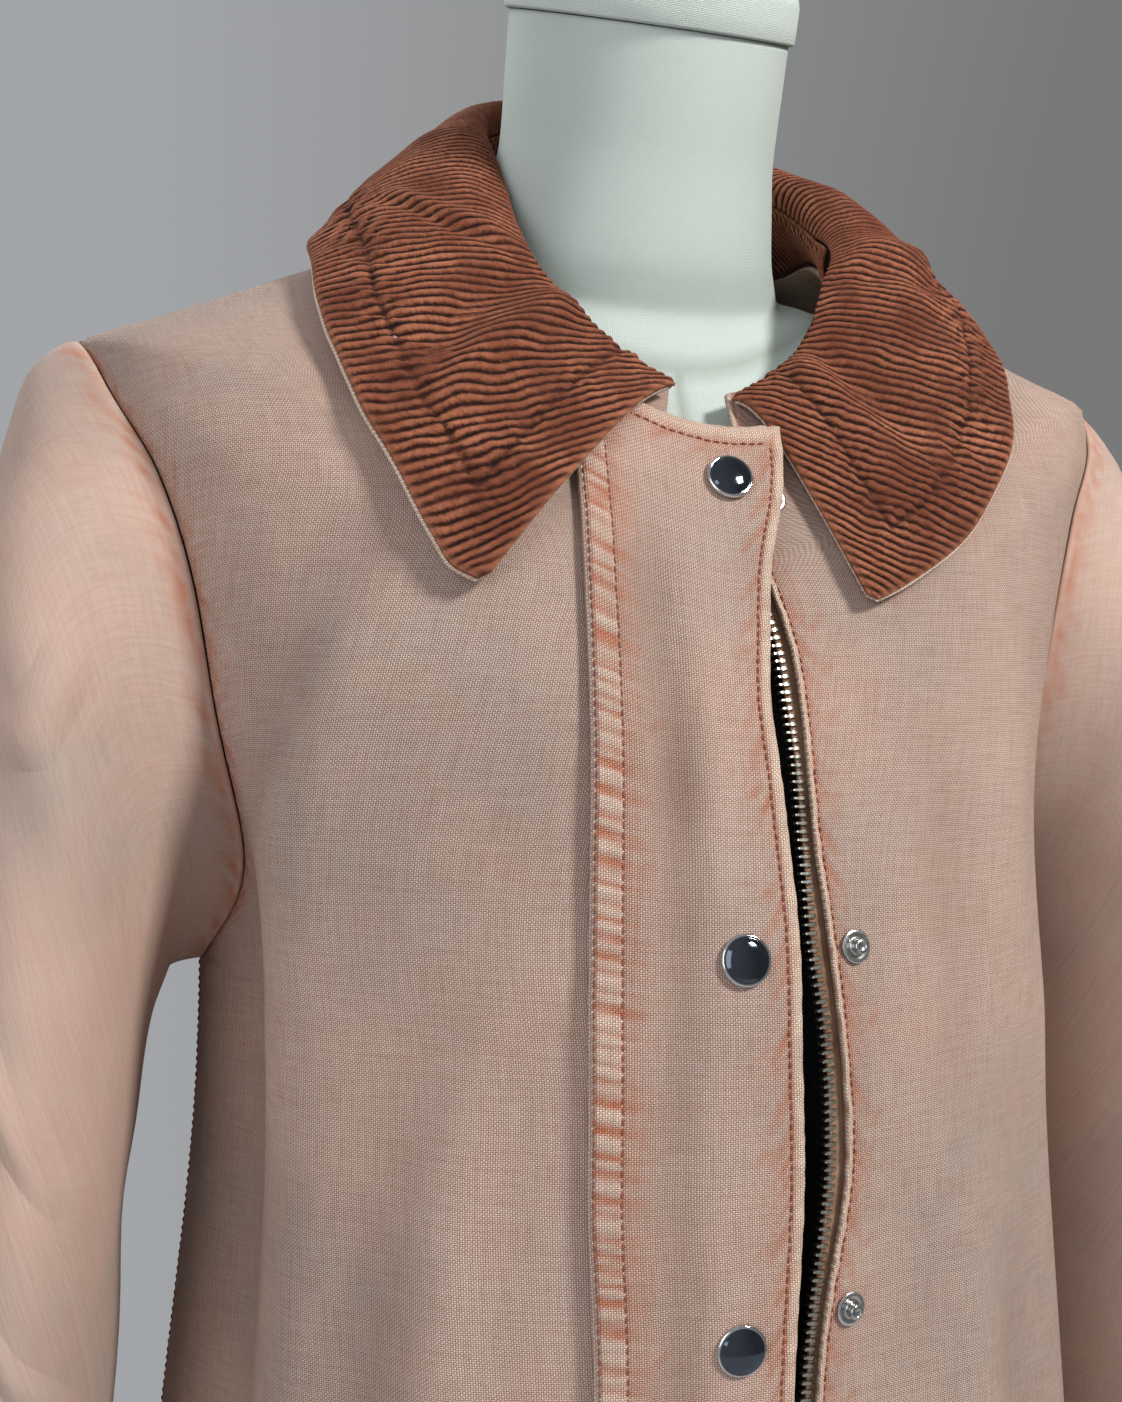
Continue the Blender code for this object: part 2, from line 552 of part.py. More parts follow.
def flap_grid(columns):
    """Heights and widths of the flap's points, with its top edge a little lower at the front."""
    heights = panel_heights()
    heights = np.concatenate([heights[heights < 1.395], [1.403, FLAP_TOP_RIDGE]])
    heights[0] += 1.5 * MM
    width = (OPENING.at("free", heights) - OPENING.at("ridge", heights)) * MM
    first, last = FLAP_PLEAT
    across = np.array([[0, first, last, last + first] + list(np.linspace(last + 0.012, w, columns))
                       for w in width])
    share = across / width[:, None]
    slope = (FLAP_TOP_RIDGE - FLAP_TOP_EDGE) * np.clip((heights - 1.30) / (FLAP_TOP_RIDGE - 1.30), 0, 1)
    return heights[:, None] - slope[:, None] * share, across


def build_flap(canvas):
    side_z, across = flap_grid(4)
    first, last = FLAP_PLEAT
    rise = np.where((across > 0.5 * first) & (across < last + 0.5 * first), FLAP_PLEAT_RISE, 0)
    wall("storm_flap", flap_point(side_z, across, rise), flap_point(side_z, across, -FLAP_WALL), canvas)


# ---------------------------------------------------------------- the collar

def body_tree():
    """The body shell's upper part as points and normals, for what lies on it."""
    side_z, angle = np.meshgrid(np.linspace(1.24, NECK_Z, 70), np.linspace(-180, 180, 241), indexing="ij")
    points = body_point(side_z, angle).reshape(-1, 3)
    normals = (body_point(side_z, angle, 1.0).reshape(-1, 3) - points)
    tree = kdtree.KDTree(len(points))
    for i, point in enumerate(points):
        tree.insert(point, i)
    tree.balance()
    return tree, points, normals


def lie_clear(points, least):
    """Points moved out until they stand at least a given height off the body shell."""
    tree, base, normals = body_tree()
    flat = points.reshape(-1, 3).copy()
    needed = np.broadcast_to(least, points.shape[:-1]).reshape(-1)
    for i, point in enumerate(flat):
        _, near, distance = tree.find(point)
        if distance > 0.03:
            continue
        height = float((point - base[near]) @ normals[near])
        soft = (height + needed[i] + math.hypot(height - needed[i], 2 * MM)) / 2
        flat[i] = point + normals[near] * (soft - height)
    return flat.reshape(points.shape)


def bezier(a, b, c, d, t):
    t = t[:, None]
    return a * (1 - t)**3 + 3 * b * t * (1 - t)**2 + 3 * c * t * t * (1 - t) + d * t**3


def by_length(points, count):
    """A polyline read again at even lengths."""
    steps = np.linalg.norm(np.diff(points, axis=0), axis=1)
    length = np.concatenate([[0], np.cumsum(steps)])
    even = np.linspace(0, length[-1], count)
    return np.stack([np.interp(even, length, points[:, k]) for k in range(3)], -1), length[-1]


class Collar:
    """The collar's outer face: stand from the neck seam to the roll, fall from there to the edge.

    Its place along the neck is a station, and its place across is a number from -1 at the neck
    seam through 0 on the roll to 1 at the outer edge.
    """

    across_steps = 40

    def __init__(self):
        self.stations = np.linspace(0, COLLAR_STATIONS, 161)
        sheet, stand, fall = [], [], []
        for s in self.stations:
            neck = body_point(NECK_Z, COLLAR.at("neck_angle", s))
            neck = neck + np.array([0, 0, 1.2 * MM])
            roll = np.array([COLLAR.at(k, s) for k in ("roll_x", "roll_y", "roll_z")]) * MM
            edge = body_point(COLLAR.at("edge_z", s), COLLAR.at("edge_angle", s),
                              COLLAR.at("lift", s) * MM)
            out = (edge - neck) * np.array([1, 1, 0])
            out /= np.linalg.norm(out)
            broad = COLLAR.at("round", s) * MM
            t = np.linspace(0, 1, 50)
            rise = roll - neck
            inside = bezier(neck, neck + rise * 0.4 - out * COLLAR.at("bow", s) * np.linalg.norm(rise),
                            roll - out * min(broad, 0.45 * np.linalg.norm(rise)), roll, t)
            drop = edge - roll
            outside = bezier(roll, roll + out * broad, edge - drop * 0.45 + np.array([0, 0, broad * 0.6]),
                             edge, t)
            inside, stand_length = by_length(inside, self.across_steps + 1)
            outside, fall_length = by_length(outside, self.across_steps + 1)
            sheet.append(np.concatenate([inside[:-1], outside]))
            stand.append(stand_length)
            fall.append(fall_length)
        sheet = np.array(sheet)
        # the right leaf passes over the flap, so it stands further off the shell there
        over_flap = np.clip((7.5 - self.stations) / 2.5, 0, 1)[:, None]
        across = np.linspace(0, 1, self.across_steps + 1)[None, :]
        inner_part = np.clip(1.95 - 1.6 * across, 0, 1)
        least = COLLAR_REST + COLLAR_REST * over_flap * inner_part
        middle = self.across_steps
        fallen = lie_clear(sheet[:, middle + 2:], least[:, 2:])
        blend = np.clip(np.arange(fallen.shape[1]) / 5, 0, 1)[None, :, None]
        sheet[:, middle + 2:] = sheet[:, middle + 2:] * (1 - blend) + fallen * blend
        self.sheet = sheet
        self.stand, self.fall = np.array(stand), np.array(fall)
        along = np.gradient(sheet, axis=0)
        over = np.gradient(sheet, axis=1)
        normal = np.cross(along, over)
        self.normal = normal / np.linalg.norm(normal, axis=-1, keepdims=True)
        roll_line, edge_line = sheet[:, middle], sheet[:, -1]
        self.roll_x = self.lengths(roll_line)
        self.edge_x = self.lengths(edge_line) * COLLAR_FAN

    def lengths(self, line):
        steps = np.linalg.norm(np.diff(line, axis=0), axis=1)
        length = np.concatenate([[0], np.cumsum(steps)])
        back = np.interp(COLLAR_STATIONS / 2, self.stations, length)
        return length - back

    def read(self, table, station, across):
        """Bilinear reading of the sheet or its normals."""
        row = np.clip(np.asarray(station) / COLLAR_STATIONS * (len(self.stations) - 1),
                      0, len(self.stations) - 1.0001)
        col = np.clip((np.asarray(across) + 1) * self.across_steps, 0, 2 * self.across_steps - 0.0001)
        r, c = row.astype(int), col.astype(int)
        u, v = (row - r)[..., None], (col - c)[..., None]
        top = table[r, c] * (1 - v) + table[r, c + 1] * v
        low = table[r + 1, c] * (1 - v) + table[r + 1, c + 1] * v
        return top * (1 - u) + low * u

    def point(self, station, across, out=0.0):
        station, across = np.broadcast_arrays(station, across)
        normal = self.read(self.normal, station, across)
        normal = normal / np.linalg.norm(normal, axis=-1, keepdims=True)
        return self.read(self.sheet, station, across) + normal * np.broadcast_to(out, station.shape)[..., None]

    def wale_line(self, x, rows):
        """Stations and places across of a wale: a line straight across the cut piece at X."""
        share = np.array(rows)
        tuck = self.tuck(x)
        end = 0 if x < 0 else -1
        start_x, end_x = self.roll_x[end], self.edge_x[end]
        first = -tuck
        if abs(x) > abs(start_x):
            first = (abs(x) - abs(start_x)) / (abs(end_x) - abs(start_x))
        across = first + (1 - first) * share
        stations = []
        for w in across:
            line = self.roll_x + (self.edge_x - self.roll_x) * max(w, 0)
            stations.append(np.interp(x, line, self.stations))
        return np.array(stations), across

    def tuck(self, x):
        """How far the fall reaches inside the roll, as a share of the stand's height."""
        station = np.interp(x, self.roll_x, self.stations)
        stand = np.interp(station, self.stations, self.stand)
        end = max(abs(self.roll_x[0]), 0.01) if x < 0 else self.roll_x[-1]
        fade = np.clip((end - abs(x) - TUCK_END) / TUCK_FADE, 0, 1)
        return float(np.clip(COLLAR_TUCK / stand, 0, 0.45) * fade)


COLLAR_ROWS = (0, 0.09, 0.19, 0.38, 0.68, 1)


WALE_STEP = 8              # wale lines of the outer face to one of the plain inner face


def collar_columns(collar):
    """X of each wale line, from the right tip to the left one, with one on each end of the roll."""
    right, left = collar.edge_x[0] + 2 * MM, collar.edge_x[-1] - 2 * MM
    half = WALE_PITCH / 2
    count = int((left - right) / half) // (2 * WALE_STEP) * 2 * WALE_STEP
    even = right + (left - right) * np.arange(count + 1) / count
    corners = [collar.roll_x[0], collar.roll_x[-1]]
    near = [even[int(np.argmin(abs(even[::WALE_STEP] - x))) * WALE_STEP] for x in corners]
    return np.interp(even, [right] + near + [left], [right] + corners + [left])


def build_collar(collar, corduroy, canvas):
    """The fall, with its wales raised in the outer face over a plain inner one."""
    columns = collar_columns(collar)
    lines = [collar.wale_line(x, COLLAR_ROWS) for x in columns]
    station = np.array([line[0] for line in lines])
    across = np.array([line[1] for line in lines])
    rise = np.where(np.arange(len(columns)) % 2 == 1, WALE_RISE, 0.0)[:, None]
    outer = collar.point(station, across, rise)
    step = WALE_STEP
    inner = collar.point(station[::step], across[::step], -COLLAR_WALL)
    fine_rows, cols = outer.shape[:2]
    count = fine_rows * cols
    faces = grid_faces(fine_rows, cols, 0, False)
    faces += grid_triangles(inner.shape[0], cols, count, True)
    for col, flip in ((0, True), (cols - 1, False)):
        for r in range(inner.shape[0] - 1):
            fan = [(r * step + k) * cols + col for k in range(step + 1)]
            a, b = count + r * cols + col, count + (r + 1) * cols + col
            half = step // 2
            pieces = [[fan[k], fan[k + 1], a] for k in range(half)]
            pieces += [[fan[half], b, a]]
            pieces += [[fan[k], fan[k + 1], b] for k in range(half, step)]
            faces += [p[::-1] if flip else p for p in pieces]
    for row, base, flip in ((0, count, False), (fine_rows - 1, count + (inner.shape[0] - 1) * cols, True)):
        for c in range(cols - 1):
            quad = [row * cols + c, row * cols + c + 1, base + c + 1, base + c]
            faces.append(quad[::-1] if flip else quad)
    points = np.concatenate([outer.reshape(-1, 3), inner.reshape(-1, 3)])
    add_object("collar", points, faces, corduroy)

    # the under collar follows the fall's inner face, round the roll too
    top = -COLLAR_WALL - GAP
    under = [collar.point(station[::step], across[::step], out) for out in (top, top - UNDER_COLLAR_WALL)]
    wall("under_collar", under[0], under[1], canvas, grid_triangles)


def build_stand(collar, corduroy):
    """The stand, from the neck seam up to the seam inside the roll."""
    stations = np.linspace(STAND_END, COLLAR_STATIONS - STAND_END, 40)
    x = np.interp(stations, collar.stations, collar.roll_x)
    tuck = np.array([collar.tuck(value) for value in x])
    height = np.interp(stations, collar.stations, collar.stand)
    top = -tuck - 1.2 * MM / height
    bottom = -1 + 0.4 * MM / height
    across = bottom[:, None] + (top - bottom)[:, None] * np.array((0, 0.5, 1))
    grid = np.broadcast_to(stations[:, None], across.shape)
    wall("collar_stand", collar.point(grid, across), collar.point(grid, across, -COLLAR_WALL), corduroy)


# ---------------------------------------------------------------- zip, snaps and stand

def zip_side(name, edge_x, teeth_x, set_back, tape_colour, metal):
    """One half of the zip: a tape that comes out from behind the panel's edge, and its teeth."""
    heights = np.concatenate([[ZIP_FOOT_Z], panel_heights()])
    heights = np.unique(heights[(heights >= ZIP_FOOT_Z) & (heights <= ZIP_TOP_Z)])
    edge, teeth = edge_x(heights) * MM, teeth_x(heights) * MM
    outward = np.sign(teeth - edge)
    hidden = edge - outward * 6 * MM

    def strip(title, a, b, middle, thick, colour):
        x = np.stack([a, b], -1)
        side_z = np.broadcast_to(heights[:, None], x.shape)
        angle = angle_at_x(side_z, x, set_back)
        wall(title, body_point(side_z, angle, middle + thick / 2, set_back),
             body_point(side_z, angle, middle - thick / 2, set_back), colour)

    tape_end = teeth - outward * (ZIP_TEETH_WIDTH / 2 + GAP)
    strip("zip_tape_" + name, hidden, tape_end, ZIP_DEPTH, ZIP_TAPE_WALL, tape_colour)
    strip("zip_teeth_" + name, teeth - outward * ZIP_TEETH_WIDTH / 2, teeth + outward * ZIP_TEETH_WIDTH / 2,
          ZIP_DEPTH, ZIP_TEETH_WALL, metal)


def face_frame(point, toward_x, toward_z):
    """A placing matrix whose Z points out of a face that passes near three points."""
    out = np.cross(toward_x - point, toward_z - point)
    out /= np.linalg.norm(out)
    up = toward_z - point
    up = up - out * (up @ out)
    up /= np.linalg.norm(up)
    side = np.cross(up, out)
    return Matrix(((side[0], up[0], out[0], point[0]), (side[1], up[1], out[1], point[1]),
                   (side[2], up[2], out[2], point[2]), (0, 0, 0, 1)))


def side_z_for(height, x, set_back):
    """The side_z of the body shell's point at a given X and true height, by halving."""
    low, high = HEM_Z, NECK_Z
    for _ in range(30):
        middle = (low + high) / 2
        z = float(body_point(middle, angle_at_x(middle, x, set_back), 0, set_back)[2])
        low, high = (middle, high) if z < height else (low, middle)
    return middle


def snap_heights():
    return SNAP_TOP_Z - np.concatenate([[0], np.cumsum(SNAP_STEPS)])


def snap_place(height):
    side_z = side_z_for(height, -0.012, False)
    width = float(OPENING.at("free", side_z) - OPENING.at("ridge", side_z)) * MM
    across = width - SNAP_INSET

    def at(dz, dx):
        return flap_point(np.array(side_z + dz), np.array(across + dx), 0.0)

    return face_frame(at(0, 0), at(0, 6 * MM), at(6 * MM, 0))


def stud_place(height):
    side_z = side_z_for(height, 0.031, True)
    x = float(OPENING.at("left_edge", side_z)) * MM + STUD_INSET

    def at(dz, dx):
        z = np.array(side_z + dz)
        return body_point(z, angle_at_x(z, np.array(x + dx)), 0.0)

    return face_frame(at(0, 0), at(0, 4 * MM), at(4 * MM, 0))


def build_snaps(steel):
    r = SNAP_RADIUS
    lift = 0.5 * MM
    cap = [(0.9 * r, lift), (r, lift + 0.8 * MM), (0.93 * r, lift + 1.9 * MM), (0.8 * r, lift + 2.1 * MM),
           (0.45 * r, lift + 2.7 * MM), (0, lift + 2.9 * MM)]
    stud = [(4.6 * MM, lift + 0.3 * MM), (5.0 * MM, lift + 0.9 * MM), (2.3 * MM, lift + 1.2 * MM),
            (2.0 * MM, lift + 2.2 * MM), (2.4 * MM, lift + 3.0 * MM), (1.6 * MM, lift + 3.5 * MM),
            (0, lift + 3.6 * MM)]
    for i, height in enumerate(snap_heights(), 1):
        turned(f"snap_cap_{i}", cap, 16, snap_place(height), steel)
        turned(f"snap_stud_{i}", stud, 10, stud_place(height), steel)


def build_form(canvas):
    angles = np.arange(24) * 15.0
    heights = FORM.key
    rings = [ring_point(FORM, z, angles) for z in heights]
    for _, y, z, half_width, half_depth, lean in FORM_NECK:
        rings.append(leaning_ring(y, z, half_width, half_depth, lean, angles))
    closed_stack("dress_form", np.array(rings), canvas)


def leaning_ring(y, z, half_width, half_depth, lean, angles):
    s, c = np.sin(np.radians(angles)), np.cos(np.radians(angles))
    tilt = math.radians(lean)
    return np.stack([half_width * s, y - half_depth * c * math.cos(tilt),
                     z - half_depth * c * math.sin(tilt)], -1)


def build_cap(painted):
    """The flat cap on the neck: a rim a little wider than the neck, and a low dome."""
    _, y, z, half_width, half_depth, lean = FORM_NECK[-1]
    tilt = math.radians(CAP_LEAN)
    angles = np.arange(24) * 15.0
    rings = []
    for _, up_mm, wider_mm in CAP_RINGS:
        up = up_mm * MM + GAP
        wide = wider_mm * MM
        rings.append(leaning_ring(y - up * math.sin(tilt), z + up * math.cos(tilt),
                                  half_width + wide, half_depth + wide, lean, angles))
    closed_stack("neck_cap", np.array(rings), painted)


def build_stand_base(painted):
    turned("stand_base", [(BASE_RADIUS - 2 * MM, 0), (BASE_RADIUS, 2 * MM), (BASE_RADIUS, BASE_HEIGHT - 4 * MM),
                          (BASE_RADIUS - 4 * MM, BASE_HEIGHT), (34 * MM, BASE_HEIGHT + 4 * MM),
                          (28 * MM, BASE_HEIGHT + 26 * MM), (0, BASE_HEIGHT + 26 * MM)],
           32, Matrix.Identity(4), painted)
    top = BASE_HEIGHT + 26 * MM + GAP
    turned("stand_pole", [(POLE_RADIUS, top), (POLE_RADIUS, FORM_BOTTOM_Z - GAP), (0, FORM_BOTTOM_Z - GAP)],
           20, Matrix.Identity(4), painted)


def zip_foot_place(x_mm, height, set_back):
    """A placing matrix on the zip's line near its foot, with Z out of the cloth."""
    def at(dz, dx):
        side_z = np.array(height + dz)
        x = np.array(x_mm * MM + dx)
        return body_point(side_z, angle_at_x(side_z, x, set_back), ZIP_DEPTH, set_back)

    return face_frame(at(0, 0), at(0, 4 * MM), at(4 * MM, 0))


def cylinder_along_x(name, radius, half_length, centre, place, colour, segments=16):
    turn = Matrix.Translation(Vector(centre)) @ Matrix.Rotation(math.pi / 2, 4, "Y")
    profile = [(radius, -half_length), (radius, half_length), (0, half_length)]
    return turned(name, profile, segments, place @ turn, colour)


def combine(target, operand, operation):
    """Unites a piece with a helper shape, or cuts it by one."""
    operand.hide_render = True
    operand.display_type = "WIRE"
    cut = target.modifiers.new(operand.name, "BOOLEAN")
    cut.operation = operation
    cut.object = operand


def build_zip_foot(metal):
    """The box at the foot of the left half, the pin of the right one, and the slider with its pull."""
    left = float(OPENING.at("left_teeth", SLIDER_Z))
    box_z = SLIDER_Z - SLIDER_HALF_HEIGHT - GAP - BOX_HALF_HEIGHT
    box_between("zip_box", (-3.2 * MM, -BOX_HALF_HEIGHT, -1.4 * MM), (3.2 * MM, BOX_HALF_HEIGHT, 1.4 * MM),
                zip_foot_place(left, box_z, True), metal, 0.5 * MM)
    right = float(OPENING.at("right_edge", SLIDER_Z)) + RIGHT_TEETH_OUT / MM
    box_between("zip_pin", (-1.0 * MM, -8 * MM, -1.0 * MM), (1.0 * MM, 8 * MM, 1.0 * MM),
                zip_foot_place(right, ZIP_FOOT_Z - 8 * MM - 2 * GAP, False), metal, 0.3 * MM)

    place = zip_foot_place(left, SLIDER_Z, True)
    face = SLIDER_HALF_WALL
    slider = box_between("zip_slider", (-4.3 * MM, -SLIDER_HALF_HEIGHT, -face),
                         (4.3 * MM, SLIDER_HALF_HEIGHT, face), place, metal)
    inner, outer = PULL_HALF_WIDTH + GAP, PULL_HALF_WIDTH + GAP + 1.2 * MM
    for title, low, high in (("slider_post_right", -outer, -inner), ("slider_post_left", inner, outer)):
        post = box_between(title, (low, -1.7 * MM, face - 0.4 * MM),
                           (high, 1.7 * MM, PULL_HINGE_OUT + 1.3 * MM), place, metal)
        combine(slider, post, "UNION")
    pin = cylinder_along_x("slider_pin", PULL_PIN_RADIUS, (inner + outer) / 2, (0, 0, PULL_HINGE_OUT),
                           place, metal)
    combine(slider, pin, "UNION")

    hinge = place @ Matrix.Translation(Vector((0, 0, PULL_HINGE_OUT)))
    flat = Matrix.Identity(4)
    w, t = PULL_HALF_WIDTH, PULL_WALL / 2
    pull = box_between("zip_pull", (-w, -PULL_LENGTH, -t), (w, 0, t), flat, metal)
    barrel = cylinder_along_x("pull_barrel", PULL_BARREL_RADIUS, w, (0, 0, 0), flat, metal)
    combine(pull, barrel, "UNION")
    hole = cylinder_along_x("pull_hole", PULL_PIN_RADIUS + 1.5 * GAP, 2 * w, (0, 0, 0), flat, metal)
    combine(pull, hole, "DIFFERENCE")
    for obj in (pull, barrel, hole):
        obj.matrix_world = hinge


def main():
    for obj in list(bpy.data.objects):
        bpy.data.objects.remove(obj)
    pink = material("washed_canvas", (0.50, 0.33, 0.27), 0.9)
    rust = material("corduroy", (0.33, 0.11, 0.07), 0.85)
    cream = material("form_canvas", (0.58, 0.62, 0.58), 0.9)
    tape = material("zip_tape", (0.40, 0.24, 0.15), 0.9)
    nickel = material("nickel", (0.62, 0.60, 0.57), 0.3, 1.0)
    dark_chrome = material("dark_chrome", (0.25, 0.26, 0.29), 0.12, 1.0)
    painted = material("painted_iron", (0.05, 0.05, 0.05), 0.5)

    build_panels(pink)
    build_sleeves(pink)
    build_flap(pink)
    collar = Collar()
    build_collar(collar, rust, pink)
    build_stand(collar, rust)
    zip_side("left", lambda z: OPENING.at("left_edge", z), lambda z: OPENING.at("left_teeth", z),
             True, tape, nickel)
    zip_side("right", lambda z: OPENING.at("right_edge", z),
             lambda z: OPENING.at("right_edge", z) + RIGHT_TEETH_OUT / MM, False, tape, nickel)
    build_zip_foot(nickel)
    build_snaps(dark_chrome)
    build_form(cream)
    build_cap(cream)
    build_stand_base(painted)


main()
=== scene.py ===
"""The looks of the barn jacket on its dress form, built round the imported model.

The jacket's cut repeats the part's own: one body shell, whose points are named by the height of
their ring at the side (side_z) and their angle round the body (0 at the centre front, +90 at the
wearer's left side, 180 at the back). Everything here is that surface on finer grids, with creases,
stitches, wales and teeth of real shape.
"""

import math

import bmesh
import bpy
import numpy as np
from mathutils import Matrix, Vector, kdtree, noise


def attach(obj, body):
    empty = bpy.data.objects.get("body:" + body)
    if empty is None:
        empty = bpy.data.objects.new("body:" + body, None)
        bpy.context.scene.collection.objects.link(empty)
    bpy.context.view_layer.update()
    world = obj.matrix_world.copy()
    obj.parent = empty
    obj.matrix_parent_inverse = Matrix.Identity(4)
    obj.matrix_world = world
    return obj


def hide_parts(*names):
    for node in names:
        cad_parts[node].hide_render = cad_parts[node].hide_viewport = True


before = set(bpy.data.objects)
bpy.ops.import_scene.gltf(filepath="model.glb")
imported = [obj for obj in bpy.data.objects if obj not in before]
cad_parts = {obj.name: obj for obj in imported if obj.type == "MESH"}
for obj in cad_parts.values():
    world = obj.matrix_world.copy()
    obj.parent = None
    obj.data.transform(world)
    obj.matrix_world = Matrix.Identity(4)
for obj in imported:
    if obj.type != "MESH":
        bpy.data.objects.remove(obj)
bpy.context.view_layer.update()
BODY_NAME = "jacket_and_form"

MM = 0.001
GAP = 0.3 * MM             # air kept between two pieces that meet
SEAM_GAP = 0.45 * MM       # between panel edges, where facets stray a little
CANVAS = 1.8 * MM          # a panel's wall, its turnings included

HEM_Z = 0.695
NECK_Z = 1.418             # the neck point at the side of the neck
ARMPIT_Z = 1.160
TIP_Z = 1.367              # where the sleeve starts on the dropped shoulder
SQUARENESS = 2.2           # 2 is an ellipse
FOLD_RUN_IN = 0.22         # the share of a fold's length over which it rises
NORMAL_TURN = 0.6          # half steps for the body shell's normals: degrees, and metres up it
NORMAL_RISE = 0.0015

SIDE_SEAM_ANGLE = 92.0
SHOULDER_SEAM_ANGLE = 84.5     # the back wraps a little over the shoulder
ARMHOLE_FRONT_SPREAD = 22.0    # how far the armhole cuts into the front and back, degrees
ARMHOLE_BACK_SPREAD = 20.0

FLAP_WALL = 2.6 * MM       # two layers of canvas
FLAP_RIDGE_LIFT = 3.9 * MM     # the flap's outer face above the body shell
FLAP_EDGE_LIFT = 6.5 * MM
FLAP_TOP_RIDGE = 1.411     # side_z of the flap's top, at the ridge and at the free edge
FLAP_TOP_EDGE = 1.402
FLAP_STRIP = (1.5 * MM, 8.9 * MM)   # the raised strip between the flap's two rows of stitches

COLLAR_WALL = 1.6 * MM
WALE_PITCH = 3.1 * MM
WALE_RISE = 0.55 * MM
COLLAR_REST = 4.6 * MM     # the fall's outer face above the body shell, twice that over the flap
COLLAR_TUCK = 15 * MM      # how far the fall reaches down inside the roll
TUCK_END = 0.045           # from the roll's front end to where that tuck starts, and its run-in
TUCK_FADE = 0.07
COLLAR_REACH = 0.03        # a point further off the body shell than this isn't moved
UNDER_COLLAR_WALL = 1.0 * MM
COLLAR_FAN = 0.89          # an outer edge's length, measured across the wales

ZIP_DEPTH = -3.4 * MM      # the tape's middle, behind the panels' outer face
ZIP_TOP_Z = 1.392
ZIP_FOOT_Z = 0.740         # where the teeth start, above the slider and the box

RIGHT_TEETH_OUT = 6 * MM   # from the right front's edge to its teeth

SNAP_TOP_Z = 1.317
SNAP_STEPS = (0.140, 0.1065, 0.1065, 0.1065, 0.1065)   # down to each next snap, heights at the flap
SNAP_INSET = 17 * MM       # from the flap's free edge
STUD_INSET = 8 * MM        # from the left front's folded edge
SNAP_X, STUD_X = -0.012, 0.031     # about where a cap and a stud are, to read heights at

FORM_BOTTOM_Z = 0.800


class Rows:
    """A short table read as smooth curves. Its first number is the key, which rises."""

    def __init__(self, names, rows):
        data = np.array([row[-len(names):] for row in rows], float)
        self.key = data[:, 0]
        self.values = {name: data[:, i] for i, name in enumerate(names)}

    def at(self, name, key):
        """Monotone cubic through the column's values."""
        x, y = self.key, self.values[name]
        step = np.diff(x)
        slope = np.diff(y) / step
        mean = (slope[:-1] * step[1:] + slope[1:] * step[:-1]) / (step[1:] + step[:-1])
        limit = 3 * np.minimum(abs(slope[:-1]), abs(slope[1:]))
        turning = slope[:-1] * slope[1:] <= 0
        mean = np.where(turning, 0, np.clip(mean, -limit, limit))
        tangent = np.concatenate([slope[:1], mean, slope[-1:]])
        key = np.clip(np.asarray(key, float), x[0], x[-1])
        i = np.clip(np.searchsorted(x, key, side="right") - 1, 0, len(x) - 2)
        t = (key - x[i]) / step[i]
        start = (2 * t**3 - 3 * t**2 + 1) * y[i] + (t**3 - 2 * t**2 + t) * step[i] * tangent[i]
        end = (3 * t**2 - 2 * t**3) * y[i + 1] + (t**3 - t**2) * step[i] * tangent[i + 1]
        return start + end


# The body shell's rings. front_z and back_z are the ring's heights at the centre front and back.
BODY = Rows(
    ("side_z", "half_width", "mid_y", "front", "back", "front_z", "back_z"),
    [
        ("hem", HEM_Z, 0.188, 0.000, 0.158, 0.152, 0.693, 0.697),
        ("hip", 0.830, 0.182, 0.000, 0.157, 0.148, 0.829, 0.832),
        ("waist", 1.000, 0.162, 0.000, 0.151, 0.130, 1.000, 1.002),
        ("bust", 1.120, 0.150, 0.000, 0.154, 0.121, 1.112, 1.124),
        ("armpit", ARMPIT_Z, 0.149, 0.000, 0.155, 0.120, 1.142, 1.166),
        ("chest_low", 1.190, 0.150, -0.001, 0.153, 0.119, 1.163, 1.197),
        ("chest", 1.220, 0.154, -0.002, 0.149, 0.118, 1.183, 1.228),
        ("chest_high", 1.260, 0.163, -0.003, 0.143, 0.117, 1.208, 1.269),
        ("across", 1.300, 0.173, -0.004, 0.137, 0.116, 1.234, 1.310),
        ("armhole_top", 1.330, 0.183, -0.005, 0.130, 0.113, 1.256, 1.341),
        ("under_tip", 1.355, 0.193, -0.006, 0.122, 0.106, 1.277, 1.366),
        ("tip", TIP_Z, 0.192, -0.008, 0.116, 0.098, 1.290, 1.377),
        ("shoulder_low", 1.379, 0.165, -0.010, 0.109, 0.088, 1.304, 1.389),
        ("shoulder_mid", 1.390, 0.138, -0.012, 0.102, 0.078, 1.318, 1.401),
        ("shoulder_high", 1.401, 0.112, -0.014, 0.095, 0.068, 1.330, 1.413),
        ("neck_side", 1.411, 0.090, -0.016, 0.088, 0.059, 1.340, 1.424),
        ("neck", NECK_Z, 0.076, -0.018, 0.082, 0.053, 1.348, 1.432),
    ])

# The largest folds: each runs from a top point to a bottom one, with its height outward in mm.
FOLDS = [
    ("right_drape", 1.300, -57, 0.700, -50, 3, 9),
    ("right_drape_trough", 1.285, -72, 0.700, -66, -14, 9),
    ("left_drape", 1.265, 58, 0.700, 48, 9, 9),
    ("left_drape_trough", 1.245, 73, 0.700, 64, -10, 9),
    ("right_hem_flare", 0.980, -24, 0.600, -27, 6, 9),
    ("left_hem_flare", 1.000, 34, 0.600, 31, 7, 9),
    ("back_right_drape", 1.240, -118, 0.600, -128, 9, 10),
    ("back_left_drape", 1.250, 120, 0.600, 131, 8, 10),
    ("back_centre", 1.200, 178, 0.600, 176, 6, 12),
]
# The left front hangs behind the flap.
SET_BACK = ("left_front_set_back", 1.500, 14, 0.690, 14, -7, 14)

